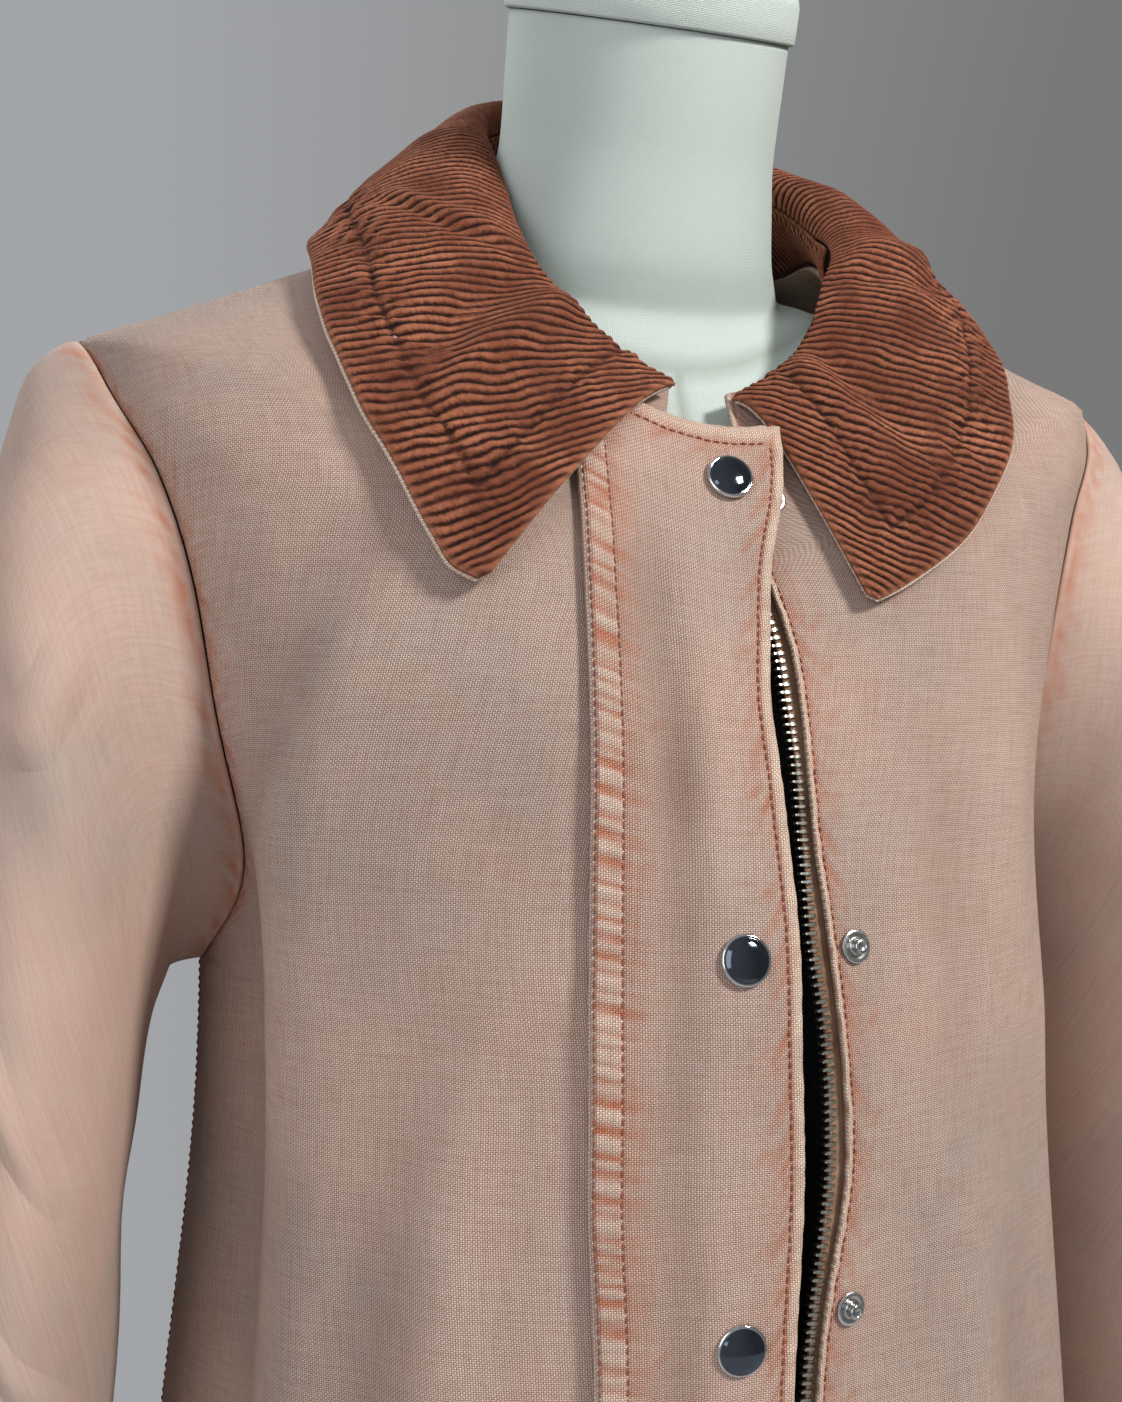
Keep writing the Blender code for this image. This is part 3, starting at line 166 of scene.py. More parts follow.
# Edges down the open front, as X in mm: the flap's folded ridge and free edge, the right front's
# edge under it, the left front's folded edge and its zip teeth.
OPENING = Rows(
    ("side_z", "ridge", "free", "right_edge", "left_edge", "left_teeth"),
    [
        ("hem", HEM_Z, -50, 6, -26, 27, 18.5),
        ("skirt", 0.850, -50, 5, -26, 24, 19),
        ("waist", 1.000, -50, 5, -26, 19, 15),
        ("under_bust", 1.060, -50, 6, -26, 21, 18.5),
        ("bust", 1.124, -52, 8, -26, 30, 25),
        ("armpit", 1.173, -52, 7, -26, 27, 23),
        ("chest", 1.222, -51, 8, -26, 24, 19.5),
        ("chest_high", 1.278, -49, 7, -26, 22, 19.5),
        ("across", 1.318, -48, 6, -26, 22, 18.5),
        ("under_collar", 1.349, -47, 9, -25, 20, 16.5),
        ("collar", 1.372, -46, 13, -22, 14, 10),
        ("top", 1.393, -45, 21, -17, 12, 7),
        ("neck", NECK_Z, -44, 25, -9, 12, 7),
    ])

# The collar, round the neck from the right front end to the left one. A station joins a point of
# the neck seam (an angle), a point of the roll (X, Y, Z in mm) and a point of the outer edge
# (side_z and angle on the body shell, and how far the edge stands off it in mm). The last columns
# are how broad the roll is, in mm, and how far the stand bows toward the neck, as a share.
COLLAR = Rows(
    ("station", "neck_angle", "roll_x", "roll_y", "roll_z", "edge_z", "edge_angle", "lift", "round",
     "bow"),
    [
        ("right_end", 0, -4, -9, -106, 1350, 1.336, -32.5, 8, 10, 0.30),
        ("right_1", 1, -13.5, -19, -103, 1356, 1.3365, -35.5, 7, 10, 0.50),
        ("right_2", 2, -22.5, -31, -98, 1366, 1.345, -38.5, 7, 10, 0.60),
        ("right_3", 3, -33, -42, -92, 1378, 1.360, -43.5, 7, 11, 0.60),
        ("right_4", 4, -43, -52, -84, 1394, 1.373, -50.5, 7, 11, 0.60),
        ("right_5", 5, -55, -56, -66, 1416, 1.386, -59.5, 8, 12, 0.55),
        ("right_6", 6, -70, -57, -41, 1445, 1.3955, -70, 8, 12, 0.45),
        ("right_7", 7, -90, -53, -12, 1466, 1.403, -90, 9, 12, 0.30),
        ("right_8", 8, -120, -41, 14, 1482, 1.405, -116, 9, 12, 0.20),
        ("right_9", 9, -150, -22, 30, 1492, 1.404, -145, 9, 12, 0.15),
        ("centre_back", 10, -180, 0, 37, 1496, 1.403, -180, 8, 12, 0.15),
        ("left_9", 11, -210, 24, 28, 1490, 1.404, -215, 9, 13, 0.15),
        ("left_8", 12, -238, 46, 10, 1478, 1.404, -246, 9, 14, 0.20),
        ("left_7", 13, -265, 61, -14, 1460, 1.401, -270, 10, 15, 0.30),
        ("left_6", 14, -285, 71, -40, 1443, 1.395, -289, 9, 15, 0.40),
        ("left_5", 15, -300, 75, -60, 1425, 1.385, -300, 8, 14, 0.40),
        ("left_4", 16, -312, 67, -78, 1408, 1.374, -309, 7, 12, 0.40),
        ("left_3", 17, -322, 55, -86, 1392, 1.362, -317, 6, 12, 0.40),
        ("left_2", 18, -332, 45, -91, 1376, 1.352, -324, 5, 11, 0.40),
        ("left_1", 19, -342, 32, -97, 1360, 1.347, -333, 5, 11, 0.30),
        ("left_end", 20, -353, 12, -101, 1348, 1.346, -338, 5, 10, 0.30),
    ])
COLLAR_STATIONS = 20
STAND_END = 4.6            # the station where the stand has run out into the neck seam

# Each sleeve from the armhole to the cuff: its outer and inner side (X from the middle, and Z),
# its half width from front to back, and its middle line's Y.
SLEEVE = Rows(
    ("station", "outer_x", "outer_z", "inner_x", "inner_z", "half_depth", "mid_y"),
    [
        ("armhole", 0, 0.196, 1.366, 0.152, 1.160, 0.083, 0.000),
        ("cap", 1, 0.206, 1.351, 0.159, 1.158, 0.086, -0.002),
        ("shoulder", 2, 0.215, 1.324, 0.164, 1.152, 0.088, -0.004),
        ("upper", 3, 0.222, 1.284, 0.168, 1.140, 0.089, -0.007),
        ("biceps", 4, 0.227, 1.233, 0.171, 1.120, 0.088, -0.010),
        ("above_elbow", 5, 0.231, 1.165, 0.174, 1.085, 0.085, -0.014),
        ("elbow", 6, 0.235, 1.090, 0.178, 1.035, 0.081, -0.019),
        ("below_elbow", 7, 0.240, 1.010, 0.184, 0.975, 0.076, -0.025),
        ("forearm", 8, 0.244, 0.930, 0.191, 0.912, 0.070, -0.031),
        ("wrist", 9, 0.248, 0.860, 0.198, 0.853, 0.065, -0.037),
        ("cuff", 10, 0.250, 0.800, 0.203, 0.802, 0.061, -0.042),
    ])
SLEEVE_ENDS = 10
LOOP_STATIONS = 2.5        # over these the sleeve leaves the armhole's own loop
# Crosswise creases of a limp sleeve: station, angle round it (0 outside, 90 front), depth in mm.
SLEEVE_CREASES = [
    ("under_cap", 3.3, 60, -5, 0.7),
    ("above_elbow", 5.2, 200, -5, 0.6),
    ("elbow_front", 6.2, 80, -7, 0.55),
    ("elbow_back", 6.9, -60, 5, 0.6),
    ("forearm", 8.0, 120, -4, 0.5),
]

# The form's torso under the jacket, rings as for the body shell. The back rests on its shoulders.
FORM = Rows(
    ("side_z", "half_width", "mid_y", "front", "back", "front_z", "back_z"),
    [
        ("bottom", FORM_BOTTOM_Z, 0.146, 0.000, 0.100, 0.106, 0.800, 0.800),
        ("hip", 0.870, 0.156, 0.000, 0.108, 0.114, 0.870, 0.870),
        ("waist", 1.030, 0.112, 0.000, 0.094, 0.086, 1.030, 1.030),
        ("under_bust", 1.100, 0.118, 0.000, 0.104, 0.088, 1.096, 1.102),
        ("bust", 1.160, 0.127, 0.000, 0.122, 0.092, 1.146, 1.166),
        ("chest", 1.220, 0.134, -0.002, 0.124, 0.096, 1.188, 1.228),
        ("across", 1.300, 0.158, -0.004, 0.116, 0.098, 1.240, 1.308),
        ("under_tip", 1.340, 0.174, -0.006, 0.108, 0.094, 1.272, 1.348),
        ("tip", 1.356, 0.172, -0.008, 0.103, 0.088, 1.288, 1.366),
        ("shoulder_low", 1.3808, 0.152, -0.010, 0.098, 0.080, 1.304, 1.379),
        ("shoulder_mid", 1.3918, 0.126, -0.012, 0.087, 0.070, 1.320, 1.392),
        ("shoulder_high", 1.4013, 0.100, -0.015, 0.079, 0.059, 1.336, 1.404),
        ("neck_side", 1.4045, 0.078, -0.018, 0.069, 0.050, 1.352, 1.416),
    ])
# The neck leans forward: middle Y and Z of each ring, half width, half depth and lean in degrees.
FORM_NECK = [
    ("seam", -0.0240, 1.4010, 0.0610, 0.0560, 27.0),
    ("low", -0.0330, 1.4170, 0.0525, 0.0570, 24.5),
    ("middle", -0.0430, 1.4460, 0.0480, 0.0540, 21.0),
    ("cap_line", -0.0560, 1.4850, 0.0485, 0.0550, 26.0),
]
CAP_LEAN = 26.0


# ---------------------------------------------------------------- small tools

def angle_of(angle):
    """An angle read from -180 to 180."""
    return (angle + 180) % 360 - 180


def bell(distance, width):
    return np.exp(-(distance / width)**2)


def smooth_step(value, low, high):
    t = np.clip((value - low) / (high - low), 0, 1)
    return t * t * (3 - 2 * t)


def between(value, rise, fall):
    """1 between two runs, each a pair of values, and 0 outside them."""
    return smooth_step(value, *rise) * (1 - smooth_step(value, *fall))


def unit(vectors):
    return vectors / np.linalg.norm(vectors, axis=-1, keepdims=True)


def line_lengths(points):
    """How far along a line each of its points is."""
    steps = np.linalg.norm(np.diff(points, axis=0), axis=1)
    return np.concatenate([[0], np.cumsum(steps)])


def read_line(at, length, values):
    """A line's points, or what goes with them, at other lengths along it."""
    return np.stack([np.interp(at, length, values[:, k]) for k in range(3)], -1)


def every(step, count):
    """Each step-th number below count, and the last one."""
    return np.unique(np.append(np.arange(0, count, step), count - 1))


def point_tree(points):
    tree = kdtree.KDTree(len(points))
    for i, point in enumerate(points):
        tree.insert(point, i)
    tree.balance()
    return tree


def turns_of(count, first=0):
    """Angles in degrees, evenly round a piece."""
    return first + np.arange(count) * 360 / count


# ---------------------------------------------------------------- the body shell

def fold_height(side_z, angle, folds):
    total = np.zeros(np.broadcast(side_z, angle).shape)
    for _, top_z, top_angle, bottom_z, bottom_angle, out_mm, width in folds:
        down = np.clip((top_z - side_z) / (top_z - bottom_z), 0, 1)
        centre = top_angle + (bottom_angle - top_angle) * down
        grow = smooth_step(down, 0, FOLD_RUN_IN)
        total = total + out_mm * MM * grow * bell(angle_of(angle - centre), width)
    return total


def ring_point(rings, side_z, angle, folds=()):
    """A point on a stack of rings, for arrays of side heights and angles."""
    side_z, angle = np.broadcast_arrays(np.asarray(side_z, float), np.asarray(angle, float))
    s, c = np.sin(np.radians(angle)), np.cos(np.radians(angle))
    front = c > 0
    width = rings.at("half_width", side_z)
    depth = np.where(front, rings.at("front", side_z), rings.at("back", side_z))
    radius = ((abs(s) / width)**SQUARENESS + (abs(c) / depth)**SQUARENESS)**(-1 / SQUARENESS)
    radius = radius + fold_height(side_z, angle, folds)
    end_z = np.where(front, rings.at("front_z", side_z), rings.at("back_z", side_z))
    x = radius * s
    y = rings.at("mid_y", side_z) - radius * c
    return np.stack([x, y, side_z + (end_z - side_z) * c * c], -1)


def body_point(side_z, angle, out=0.0, set_back=True):
    """A point of the jacket's outer face, moved out along the normal."""
    side_z, angle = np.broadcast_arrays(np.asarray(side_z, float), np.asarray(angle, float))
    folds = FOLDS + [SET_BACK] if set_back else FOLDS

    def at(dz, da):
        return ring_point(BODY, side_z + dz, angle + da, folds)

    across = at(0, NORMAL_TURN) - at(0, -NORMAL_TURN)
    up = at(NORMAL_RISE, 0) - at(-NORMAL_RISE, 0)
    normal = unit(np.cross(across, up))
    return at(0, 0) + normal * np.broadcast_to(out, side_z.shape)[..., None]


def angle_at_x(side_z, x, set_back=True):
    """The angle where a front's ring passes a given X."""
    angle = np.zeros(np.broadcast(side_z, x).shape)
    for _ in range(8):
        y = body_point(side_z, angle, 0, set_back)[..., 1] - BODY.at("mid_y", side_z)
        angle = np.degrees(np.arctan2(x, -y))
    return angle


def opening_angle(name, side_z, set_back=True, shift=0.0):
    return angle_at_x(side_z, OPENING.at(name, side_z) * MM + shift, set_back)


def armhole_reach(side_z):
    """0 outside the armhole's height and 1 at its middle, as on an ellipse."""
    middle, half = (ARMPIT_Z + TIP_Z) / 2, (TIP_Z - ARMPIT_Z) / 2
    return np.sqrt(np.clip(1 - ((side_z - middle) / half)**2, 0, 1))


def seam_angle(side_z):
    """The side seam, the armhole's middle line and the shoulder seam, from hem to neck."""
    t = np.clip((side_z - ARMPIT_Z) / (TIP_Z - ARMPIT_Z), 0, 1)
    return SIDE_SEAM_ANGLE + (SHOULDER_SEAM_ANGLE - SIDE_SEAM_ANGLE) * t


def degrees_for(length, side_z, angle):
    """A short length along a ring, in degrees."""
    a, b = ring_point(BODY, side_z, angle - 0.5), ring_point(BODY, side_z, angle + 0.5)
    return length / np.linalg.norm(b - a, axis=-1)


def front_edge_angle(side_z):
    edge = seam_angle(side_z) - ARMHOLE_FRONT_SPREAD * armhole_reach(side_z)
    return edge - degrees_for(SEAM_GAP, side_z, edge)


def back_edge_angle(side_z):
    return seam_angle(side_z) + ARMHOLE_BACK_SPREAD * armhole_reach(side_z)


# ---------------------------------------------------------------- sleeve, flap and collar surfaces

def sleeve_point(side, station, turn):
    """A point of a sleeve's outer face: station from the armhole, turn round it (0 outside, 90 front)."""
    station, turn = np.broadcast_arrays(np.asarray(station, float), np.asarray(turn, float))
    a = np.radians(turn)
    outer = np.stack([SLEEVE.at("outer_x", station), SLEEVE.at("outer_z", station)], -1)
    inner = np.stack([SLEEVE.at("inner_x", station), SLEEVE.at("inner_z", station)], -1)
    middle, reach = (outer + inner) / 2, (outer - inner) / 2
    length = np.linalg.norm(reach, axis=-1)
    depth = SLEEVE.at("half_depth", station)
    crease = np.zeros(station.shape)
    for _, where, angle, depth_mm, spread in SLEEVE_CREASES:
        away = angle_of(turn - angle - 25 * (station - where))
        crease = crease + depth_mm * MM * np.exp(-((station - where) / spread)**2 - (away / 55)**2)
    across = (length + crease) / length * np.cos(a)
    front = (depth + crease) * np.sin(a)
    x = middle[..., 0] + reach[..., 0] * across
    z = middle[..., 1] + reach[..., 1] * across
    y = SLEEVE.at("mid_y", station) - front
    free = np.stack([x, y, z], -1)

    # near the armhole the sleeve follows the armhole's own loop
    loop_z = (ARMPIT_Z + TIP_Z) / 2 + (TIP_Z - ARMPIT_Z) / 2 * np.cos(a)
    spread = np.where(np.sin(a) > 0, -ARMHOLE_FRONT_SPREAD, ARMHOLE_BACK_SPREAD)
    loop_angle = seam_angle(loop_z) + spread * abs(np.sin(a))
    ease = smooth_step(station, 0, LOOP_STATIONS)[..., None]
    loop = body_point(loop_z, side * loop_angle)
    loop[..., 0] *= side
    out = np.stack([SLEEVE.at("outer_x", station) - SLEEVE.at("outer_x", 0), 0 * x, 0 * x], -1)
    toward = np.stack([0 * x + SEAM_GAP, 0 * x, 0 * x], -1)
    mixed = (loop + out * (1 - np.abs(ease - 0.5)) + toward) * (1 - ease) + free * ease
    mixed[..., 0] *= side
    return mixed


def sleeve_wall(side, station, turn, inward):
    """The sleeve's inner face, along the outer face's normals."""
    station, turn = np.broadcast_arrays(np.asarray(station, float), np.asarray(turn, float))
    low, high = np.clip(station - 0.2, 0, SLEEVE_ENDS), np.clip(station + 0.2, 0, SLEEVE_ENDS)
    along = sleeve_point(side, high, turn) - sleeve_point(side, low, turn)
    around = sleeve_point(side, station, turn + 5) - sleeve_point(side, station, turn - 5)
    normal = unit(np.cross(along, around) * side)
    return sleeve_point(side, station, turn) - normal * inward


def flap_width(side_z):
    return (OPENING.at("free", side_z) - OPENING.at("ridge", side_z)) * MM


def flap_point(side_z, across, out=0.0):
    """A point of the storm flap: across is in metres from the ridge toward the free edge."""
    x_ridge = OPENING.at("ridge", side_z) * MM
    share = across / (OPENING.at("free", side_z) * MM - x_ridge)
    lift = FLAP_RIDGE_LIFT + (FLAP_EDGE_LIFT - FLAP_RIDGE_LIFT) * np.clip(share, 0, 1)
    angle = angle_at_x(side_z, x_ridge + across, set_back=False)
    return body_point(side_z, angle, lift + out, set_back=False)


def lie_clear(points, least):
    """Points moved out until they stand at least a given height off the body shell's upper part."""
    side_z, angle = np.meshgrid(np.linspace(1.24, NECK_Z, 70), np.linspace(-180, 180, 241), indexing="ij")
    base = body_point(side_z, angle).reshape(-1, 3)
    normals = body_point(side_z, angle, 1.0).reshape(-1, 3) - base
    tree = point_tree(base)
    flat = points.reshape(-1, 3).copy()
    needed = np.broadcast_to(least, points.shape[:-1]).reshape(-1)
    for i, point in enumerate(flat):
        _, near, distance = tree.find(point)
        if distance > COLLAR_REACH:
            continue
        height = float((point - base[near]) @ normals[near])
        soft = (height + needed[i] + math.hypot(height - needed[i], 2 * MM)) / 2
        flat[i] = point + normals[near] * (soft - height)
    return flat.reshape(points.shape)


def bezier(a, b, c, d, t):
    t = t[:, None]
    return a * (1 - t)**3 + 3 * b * t * (1 - t)**2 + 3 * c * t * t * (1 - t) + d * t**3


def by_length(points, count):
    """A polyline read again at even lengths."""
    length = line_lengths(points)
    return read_line(np.linspace(0, length[-1], count), length, points), length[-1]


class Collar:
    """The collar's outer face: stand from the neck seam to the roll, fall from there to the edge.

    Its place along the neck is a station, and its place across is a number from -1 at the neck
    seam through 0 on the roll to 1 at the outer edge.
    """

    across_steps = 40

    def __init__(self):
        self.stations = np.linspace(0, COLLAR_STATIONS, 161)
        sheet, stand = [], []
        for s in self.stations:
            neck = body_point(NECK_Z, COLLAR.at("neck_angle", s))
            neck = neck + np.array([0, 0, 1.2 * MM])
            roll = np.array([COLLAR.at(k, s) for k in ("roll_x", "roll_y", "roll_z")]) * MM
            edge = body_point(COLLAR.at("edge_z", s), COLLAR.at("edge_angle", s),
                              COLLAR.at("lift", s) * MM)
            out = (edge - neck) * np.array([1, 1, 0])
            out /= np.linalg.norm(out)
            broad = COLLAR.at("round", s) * MM
            t = np.linspace(0, 1, 50)
            rise = roll - neck
            inside = bezier(neck, neck + rise * 0.4 - out * COLLAR.at("bow", s) * np.linalg.norm(rise),
                            roll - out * min(broad, 0.45 * np.linalg.norm(rise)), roll, t)
            drop = edge - roll
            outside = bezier(roll, roll + out * broad, edge - drop * 0.45 + np.array([0, 0, broad * 0.6]),
                             edge, t)
            inside, stand_length = by_length(inside, self.across_steps + 1)
            outside, _ = by_length(outside, self.across_steps + 1)
            sheet.append(np.concatenate([inside[:-1], outside]))
            stand.append(stand_length)
        sheet = np.array(sheet)
        # the right leaf passes over the flap, so it stands further off the shell there
        over_flap = np.clip((7.5 - self.stations) / 2.5, 0, 1)[:, None]
        across = np.linspace(0, 1, self.across_steps + 1)[None, :]
        inner_part = np.clip(1.95 - 1.6 * across, 0, 1)
        least = COLLAR_REST + COLLAR_REST * over_flap * inner_part
        middle = self.across_steps
        fallen = lie_clear(sheet[:, middle + 2:], least[:, 2:])
        blend = np.clip(np.arange(fallen.shape[1]) / 5, 0, 1)[None, :, None]
        sheet[:, middle + 2:] = sheet[:, middle + 2:] * (1 - blend) + fallen * blend
        self.sheet = sheet
        self.stand = np.array(stand)
        self.normal = unit(np.cross(np.gradient(sheet, axis=0), np.gradient(sheet, axis=1)))
        self.roll_x = self.from_back(sheet[:, middle])
        self.edge_x = self.from_back(sheet[:, -1]) * COLLAR_FAN

    def from_back(self, line):
        """Length along a line round the neck, from the centre back."""
        length = line_lengths(line)
        return length - np.interp(COLLAR_STATIONS / 2, self.stations, length)

    def read(self, table, station, across):
        """Bilinear reading of the sheet or its normals."""
        row = np.clip(np.asarray(station) / COLLAR_STATIONS * (len(self.stations) - 1),
                      0, len(self.stations) - 1.0001)
        col = np.clip((np.asarray(across) + 1) * self.across_steps, 0, 2 * self.across_steps - 0.0001)
        r, c = row.astype(int), col.astype(int)
        u, v = (row - r)[..., None], (col - c)[..., None]
        top = table[r, c] * (1 - v) + table[r, c + 1] * v
        low = table[r + 1, c] * (1 - v) + table[r + 1, c + 1] * v
        return top * (1 - u) + low * u

    def point(self, station, across, out=0.0):
        station, across = np.broadcast_arrays(station, across)
        normal = unit(self.read(self.normal, station, across))
        lift = np.broadcast_to(out, station.shape)[..., None]
        return self.read(self.sheet, station, across) + normal * lift

    def wale_line(self, x, rows):
        """Stations and places across of a wale: a line straight across the cut piece at X."""
        end = 0 if x < 0 else -1
        start_x, end_x = self.roll_x[end], self.edge_x[end]
        first = -self.tuck(x)
        if abs(x) > abs(start_x):
            first = (abs(x) - abs(start_x)) / (abs(end_x) - abs(start_x))
        across = first + (1 - first) * np.array(rows)
        lines = [self.roll_x + (self.edge_x - self.roll_x) * max(w, 0) for w in across]
        return np.array([np.interp(x, line, self.stations) for line in lines]), across

    def tuck(self, x):
        """How far the fall reaches inside the roll, as a share of the stand's height."""
        station = np.interp(x, self.roll_x, self.stations)
        stand = np.interp(station, self.stations, self.stand)
        end = max(abs(self.roll_x[0]), 0.01) if x < 0 else self.roll_x[-1]
        fade = np.clip((end - abs(x) - TUCK_END) / TUCK_FADE, 0, 1)
        return float(np.clip(COLLAR_TUCK / stand, 0, 0.45) * fade)


def face_frame(point, toward_x, toward_z):
    """A placing matrix whose Z points out of a face that passes near three points."""
    out = np.cross(toward_x - point, toward_z - point)
    out /= np.linalg.norm(out)
    up = toward_z - point
    up = up - out * (up @ out)
    up /= np.linalg.norm(up)
    side = np.cross(up, out)
    return Matrix(((side[0], up[0], out[0], point[0]), (side[1], up[1], out[1], point[1]),
                   (side[2], up[2], out[2], point[2]), (0, 0, 0, 1)))


def side_z_for(height, x, set_back):
    """The side_z of the body shell's point at a given X and true height, by halving."""
    low, high = HEM_Z, NECK_Z
    for _ in range(30):
        middle = (low + high) / 2
        z = float(body_point(middle, angle_at_x(middle, x, set_back), 0, set_back)[2])
        low, high = (middle, high) if z < height else (low, middle)
    return middle


def snap_place(height):
    side_z = side_z_for(height, SNAP_X, False)
    across = float(flap_width(side_z)) - SNAP_INSET

    def at(dz, dx):
        return flap_point(np.array(side_z + dz), np.array(across + dx), 0.0)

    return face_frame(at(0, 0), at(0, 6 * MM), at(6 * MM, 0))


def stud_place(height):
    side_z = side_z_for(height, STUD_X, True)
    x = float(OPENING.at("left_edge", side_z)) * MM + STUD_INSET

    def at(dz, dx):
        z = np.array(side_z + dz)
        return body_point(z, angle_at_x(z, np.array(x + dx)), 0.0)

    return face_frame(at(0, 0), at(0, 4 * MM), at(4 * MM, 0))


def leaning_ring(y, z, half_width, half_depth, lean, angles):
    s, c = np.sin(np.radians(angles)), np.cos(np.radians(angles))
    tilt = math.radians(lean)
    return np.stack([half_width * s, y - half_depth * c * math.cos(tilt),
                     z - half_depth * c * math.sin(tilt)], -1)


# ---------------------------------------------------------------- meshes

def ring_faces(index, wrap=True):
    """Quads between the rows of a grid of point numbers, closed round where wrap says so."""
    before = index if wrap else index[:, :-1]
    after = np.roll(index, -1, axis=1) if wrap else index[:, 1:]
    return np.stack([before[:-1], after[:-1], after[1:], before[1:]], -1).reshape(-1, 4)


def repeated_rings(count, rings, around):
    """Faces of many small closed pieces, each made of rings with so many points."""
    base = np.arange(count) * rings * around
    faces = []
    for r in range(rings - 1):
        for c in range(around):
            d = (c + 1) % around
            corners = (r * around + c, r * around + d, (r + 1) * around + d, (r + 1) * around + c)
            faces += list(np.stack([base + corner for corner in corners], -1))
    first = base[:, None] + np.arange(around)
    return faces + list(first[:, ::-1]) + list(first + (rings - 1) * around)


def make_mesh(name, points, faces, uv=None, marks=None, around=None):
    """A mesh from points and faces. uv and marks hold a value for each point.

    around is a closed piece's length round at each point: faces over its start read on past it.
    """
    mesh = bpy.data.meshes.new(name)
    sizes = np.array([len(f) for f in faces])
    loops = np.concatenate([np.asarray(f) for f in faces])
    mesh.vertices.add(len(points))
    mesh.vertices.foreach_set("co", np.asarray(points, np.float32).ravel())
    mesh.loops.add(len(loops))
    mesh.loops.foreach_set("vertex_index", loops.astype(np.int32))
    mesh.polygons.add(len(faces))
    starts = np.concatenate([[0], np.cumsum(sizes)[:-1]])
    mesh.polygons.foreach_set("loop_start", starts.astype(np.int32))
    mesh.update(calc_edges=True)
    mesh.validate()
    if uv is not None:
        layer = mesh.uv_layers.new(name="cut")
        order = np.empty(len(mesh.loops), np.int32)
        mesh.loops.foreach_get("vertex_index", order)
        spread = np.asarray(uv, np.float32)[order]
        if around is not None:
            owner = np.repeat(np.arange(len(mesh.polygons)), [p.loop_total for p in mesh.polygons])
            high = np.zeros(len(mesh.polygons))
            np.maximum.at(high, owner, spread[:, 0])
            length = np.asarray(around)[order]
            over = (high[owner] > 0.75 * length) & (spread[:, 0] < 0.25 * length)
            spread[over, 0] += length[over]
        layer.data.foreach_set("uv", spread.ravel())
    for title, values in (marks or {}).items():
        layer = mesh.attributes.new(title, "FLOAT", "POINT")
        layer.data.foreach_set("value", np.asarray(values, np.float32).ravel())
    mesh.shade_smooth()
    return mesh


def add_piece(name, mesh, surface, body=BODY_NAME, nodes=()):
    obj = bpy.data.objects.new(name, mesh)
    bpy.context.scene.collection.objects.link(obj)
    mesh.materials.append(surface)
    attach(obj, body)
    if nodes:
        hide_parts(*nodes)
    return obj


def shell(name, outer, inner, inner_rows, uv, marks, around=None):
    """A thin closed shell. outer is a grid [row, column]; inner holds only the rows inner_rows."""
    wrap = around is not None
    rows, cols = outer.shape[:2]
    count = rows * cols
    index = np.arange(count).reshape(rows, cols)
    inside = count + np.arange(len(inner_rows) * cols).reshape(len(inner_rows), cols)
    faces = list(ring_faces(index, wrap)) + list(ring_faces(inside, wrap)[:, ::-1])
    for edge, ring, way in ((index[0], inside[0], -1), (index[-1], inside[-1], 1)):
        faces += list(ring_faces(np.stack([edge, ring]), wrap)[:, ::way])
    if not wrap:
        for col, flip in ((0, False), (cols - 1, True)):
            for k in range(len(inner_rows) - 1):
                run = list(index[inner_rows[k]:inner_rows[k + 1] + 1, col])
                poly = run + [inside[k + 1, col], inside[k, col]]
                faces.append(np.array(poly[::-1] if flip else poly))
    points = np.concatenate([outer.reshape(-1, 3), inner.reshape(-1, 3)])
    # the outer face must look away from the inner one
    i, j = rows // 2, cols // 2
    out = np.cross(outer[i, j - 1] - outer[i, j], outer[i - 1, j] - outer[i, j])
    k = int(np.argmin(abs(np.array(inner_rows) - i)))
    if float(out @ (outer[inner_rows[k], j] - inner[k, j])) < 0:
        faces = [f[::-1] for f in faces]

    def both(values):
        return np.concatenate([part.reshape(-1, *values.shape[2:]) for part in (values, values[inner_rows])])

    around = both(around) if wrap else None
    return make_mesh(name, points, faces, both(uv), {k: both(v) for k, v in marks.items()}, around)


def arc(points, axis):
    """Length along a grid's rows or columns, in metres."""
    step = np.linalg.norm(np.diff(points, axis=axis), axis=-1)
    pad = [(0, 0), (0, 0)]
    pad[axis] = (1, 0)
    return np.cumsum(np.pad(step, pad), axis=axis)


def grid_normals(points):
    return unit(np.cross(np.gradient(points, axis=1), np.gradient(points, axis=0)))


def rope(along, skew=0.0, seed=0.0, pitch=7.5 * MM):
    """Uneven puckers along a seam, from -1 to 1."""
    v = 2 * np.pi * (along + skew)
    slow = 2.4 * np.sin(v / (8.3 * pitch) + seed) + 1.7 * np.sin(v / (5.1 * pitch) + 2 * seed)
    first = np.sin(v / pitch + slow + seed)
    second = np.sin(v / (1.73 * pitch) - 1.3 * slow + 3 * seed)
    third = np.sin(v / (0.57 * pitch) + 0.8 * slow)
    return (first + 0.7 * second + 0.35 * third) / 1.7


def patchy(points, scale, seed):
    """Soft 3-D noise read at points, from about -1 to 1."""
    flat = points.reshape(-1, 3) / scale + seed
    values = np.array([noise.noise(p) for p in flat])
    return values.reshape(points.shape[:-1]) * 1.6


# ---------------------------------------------------------------- node materials

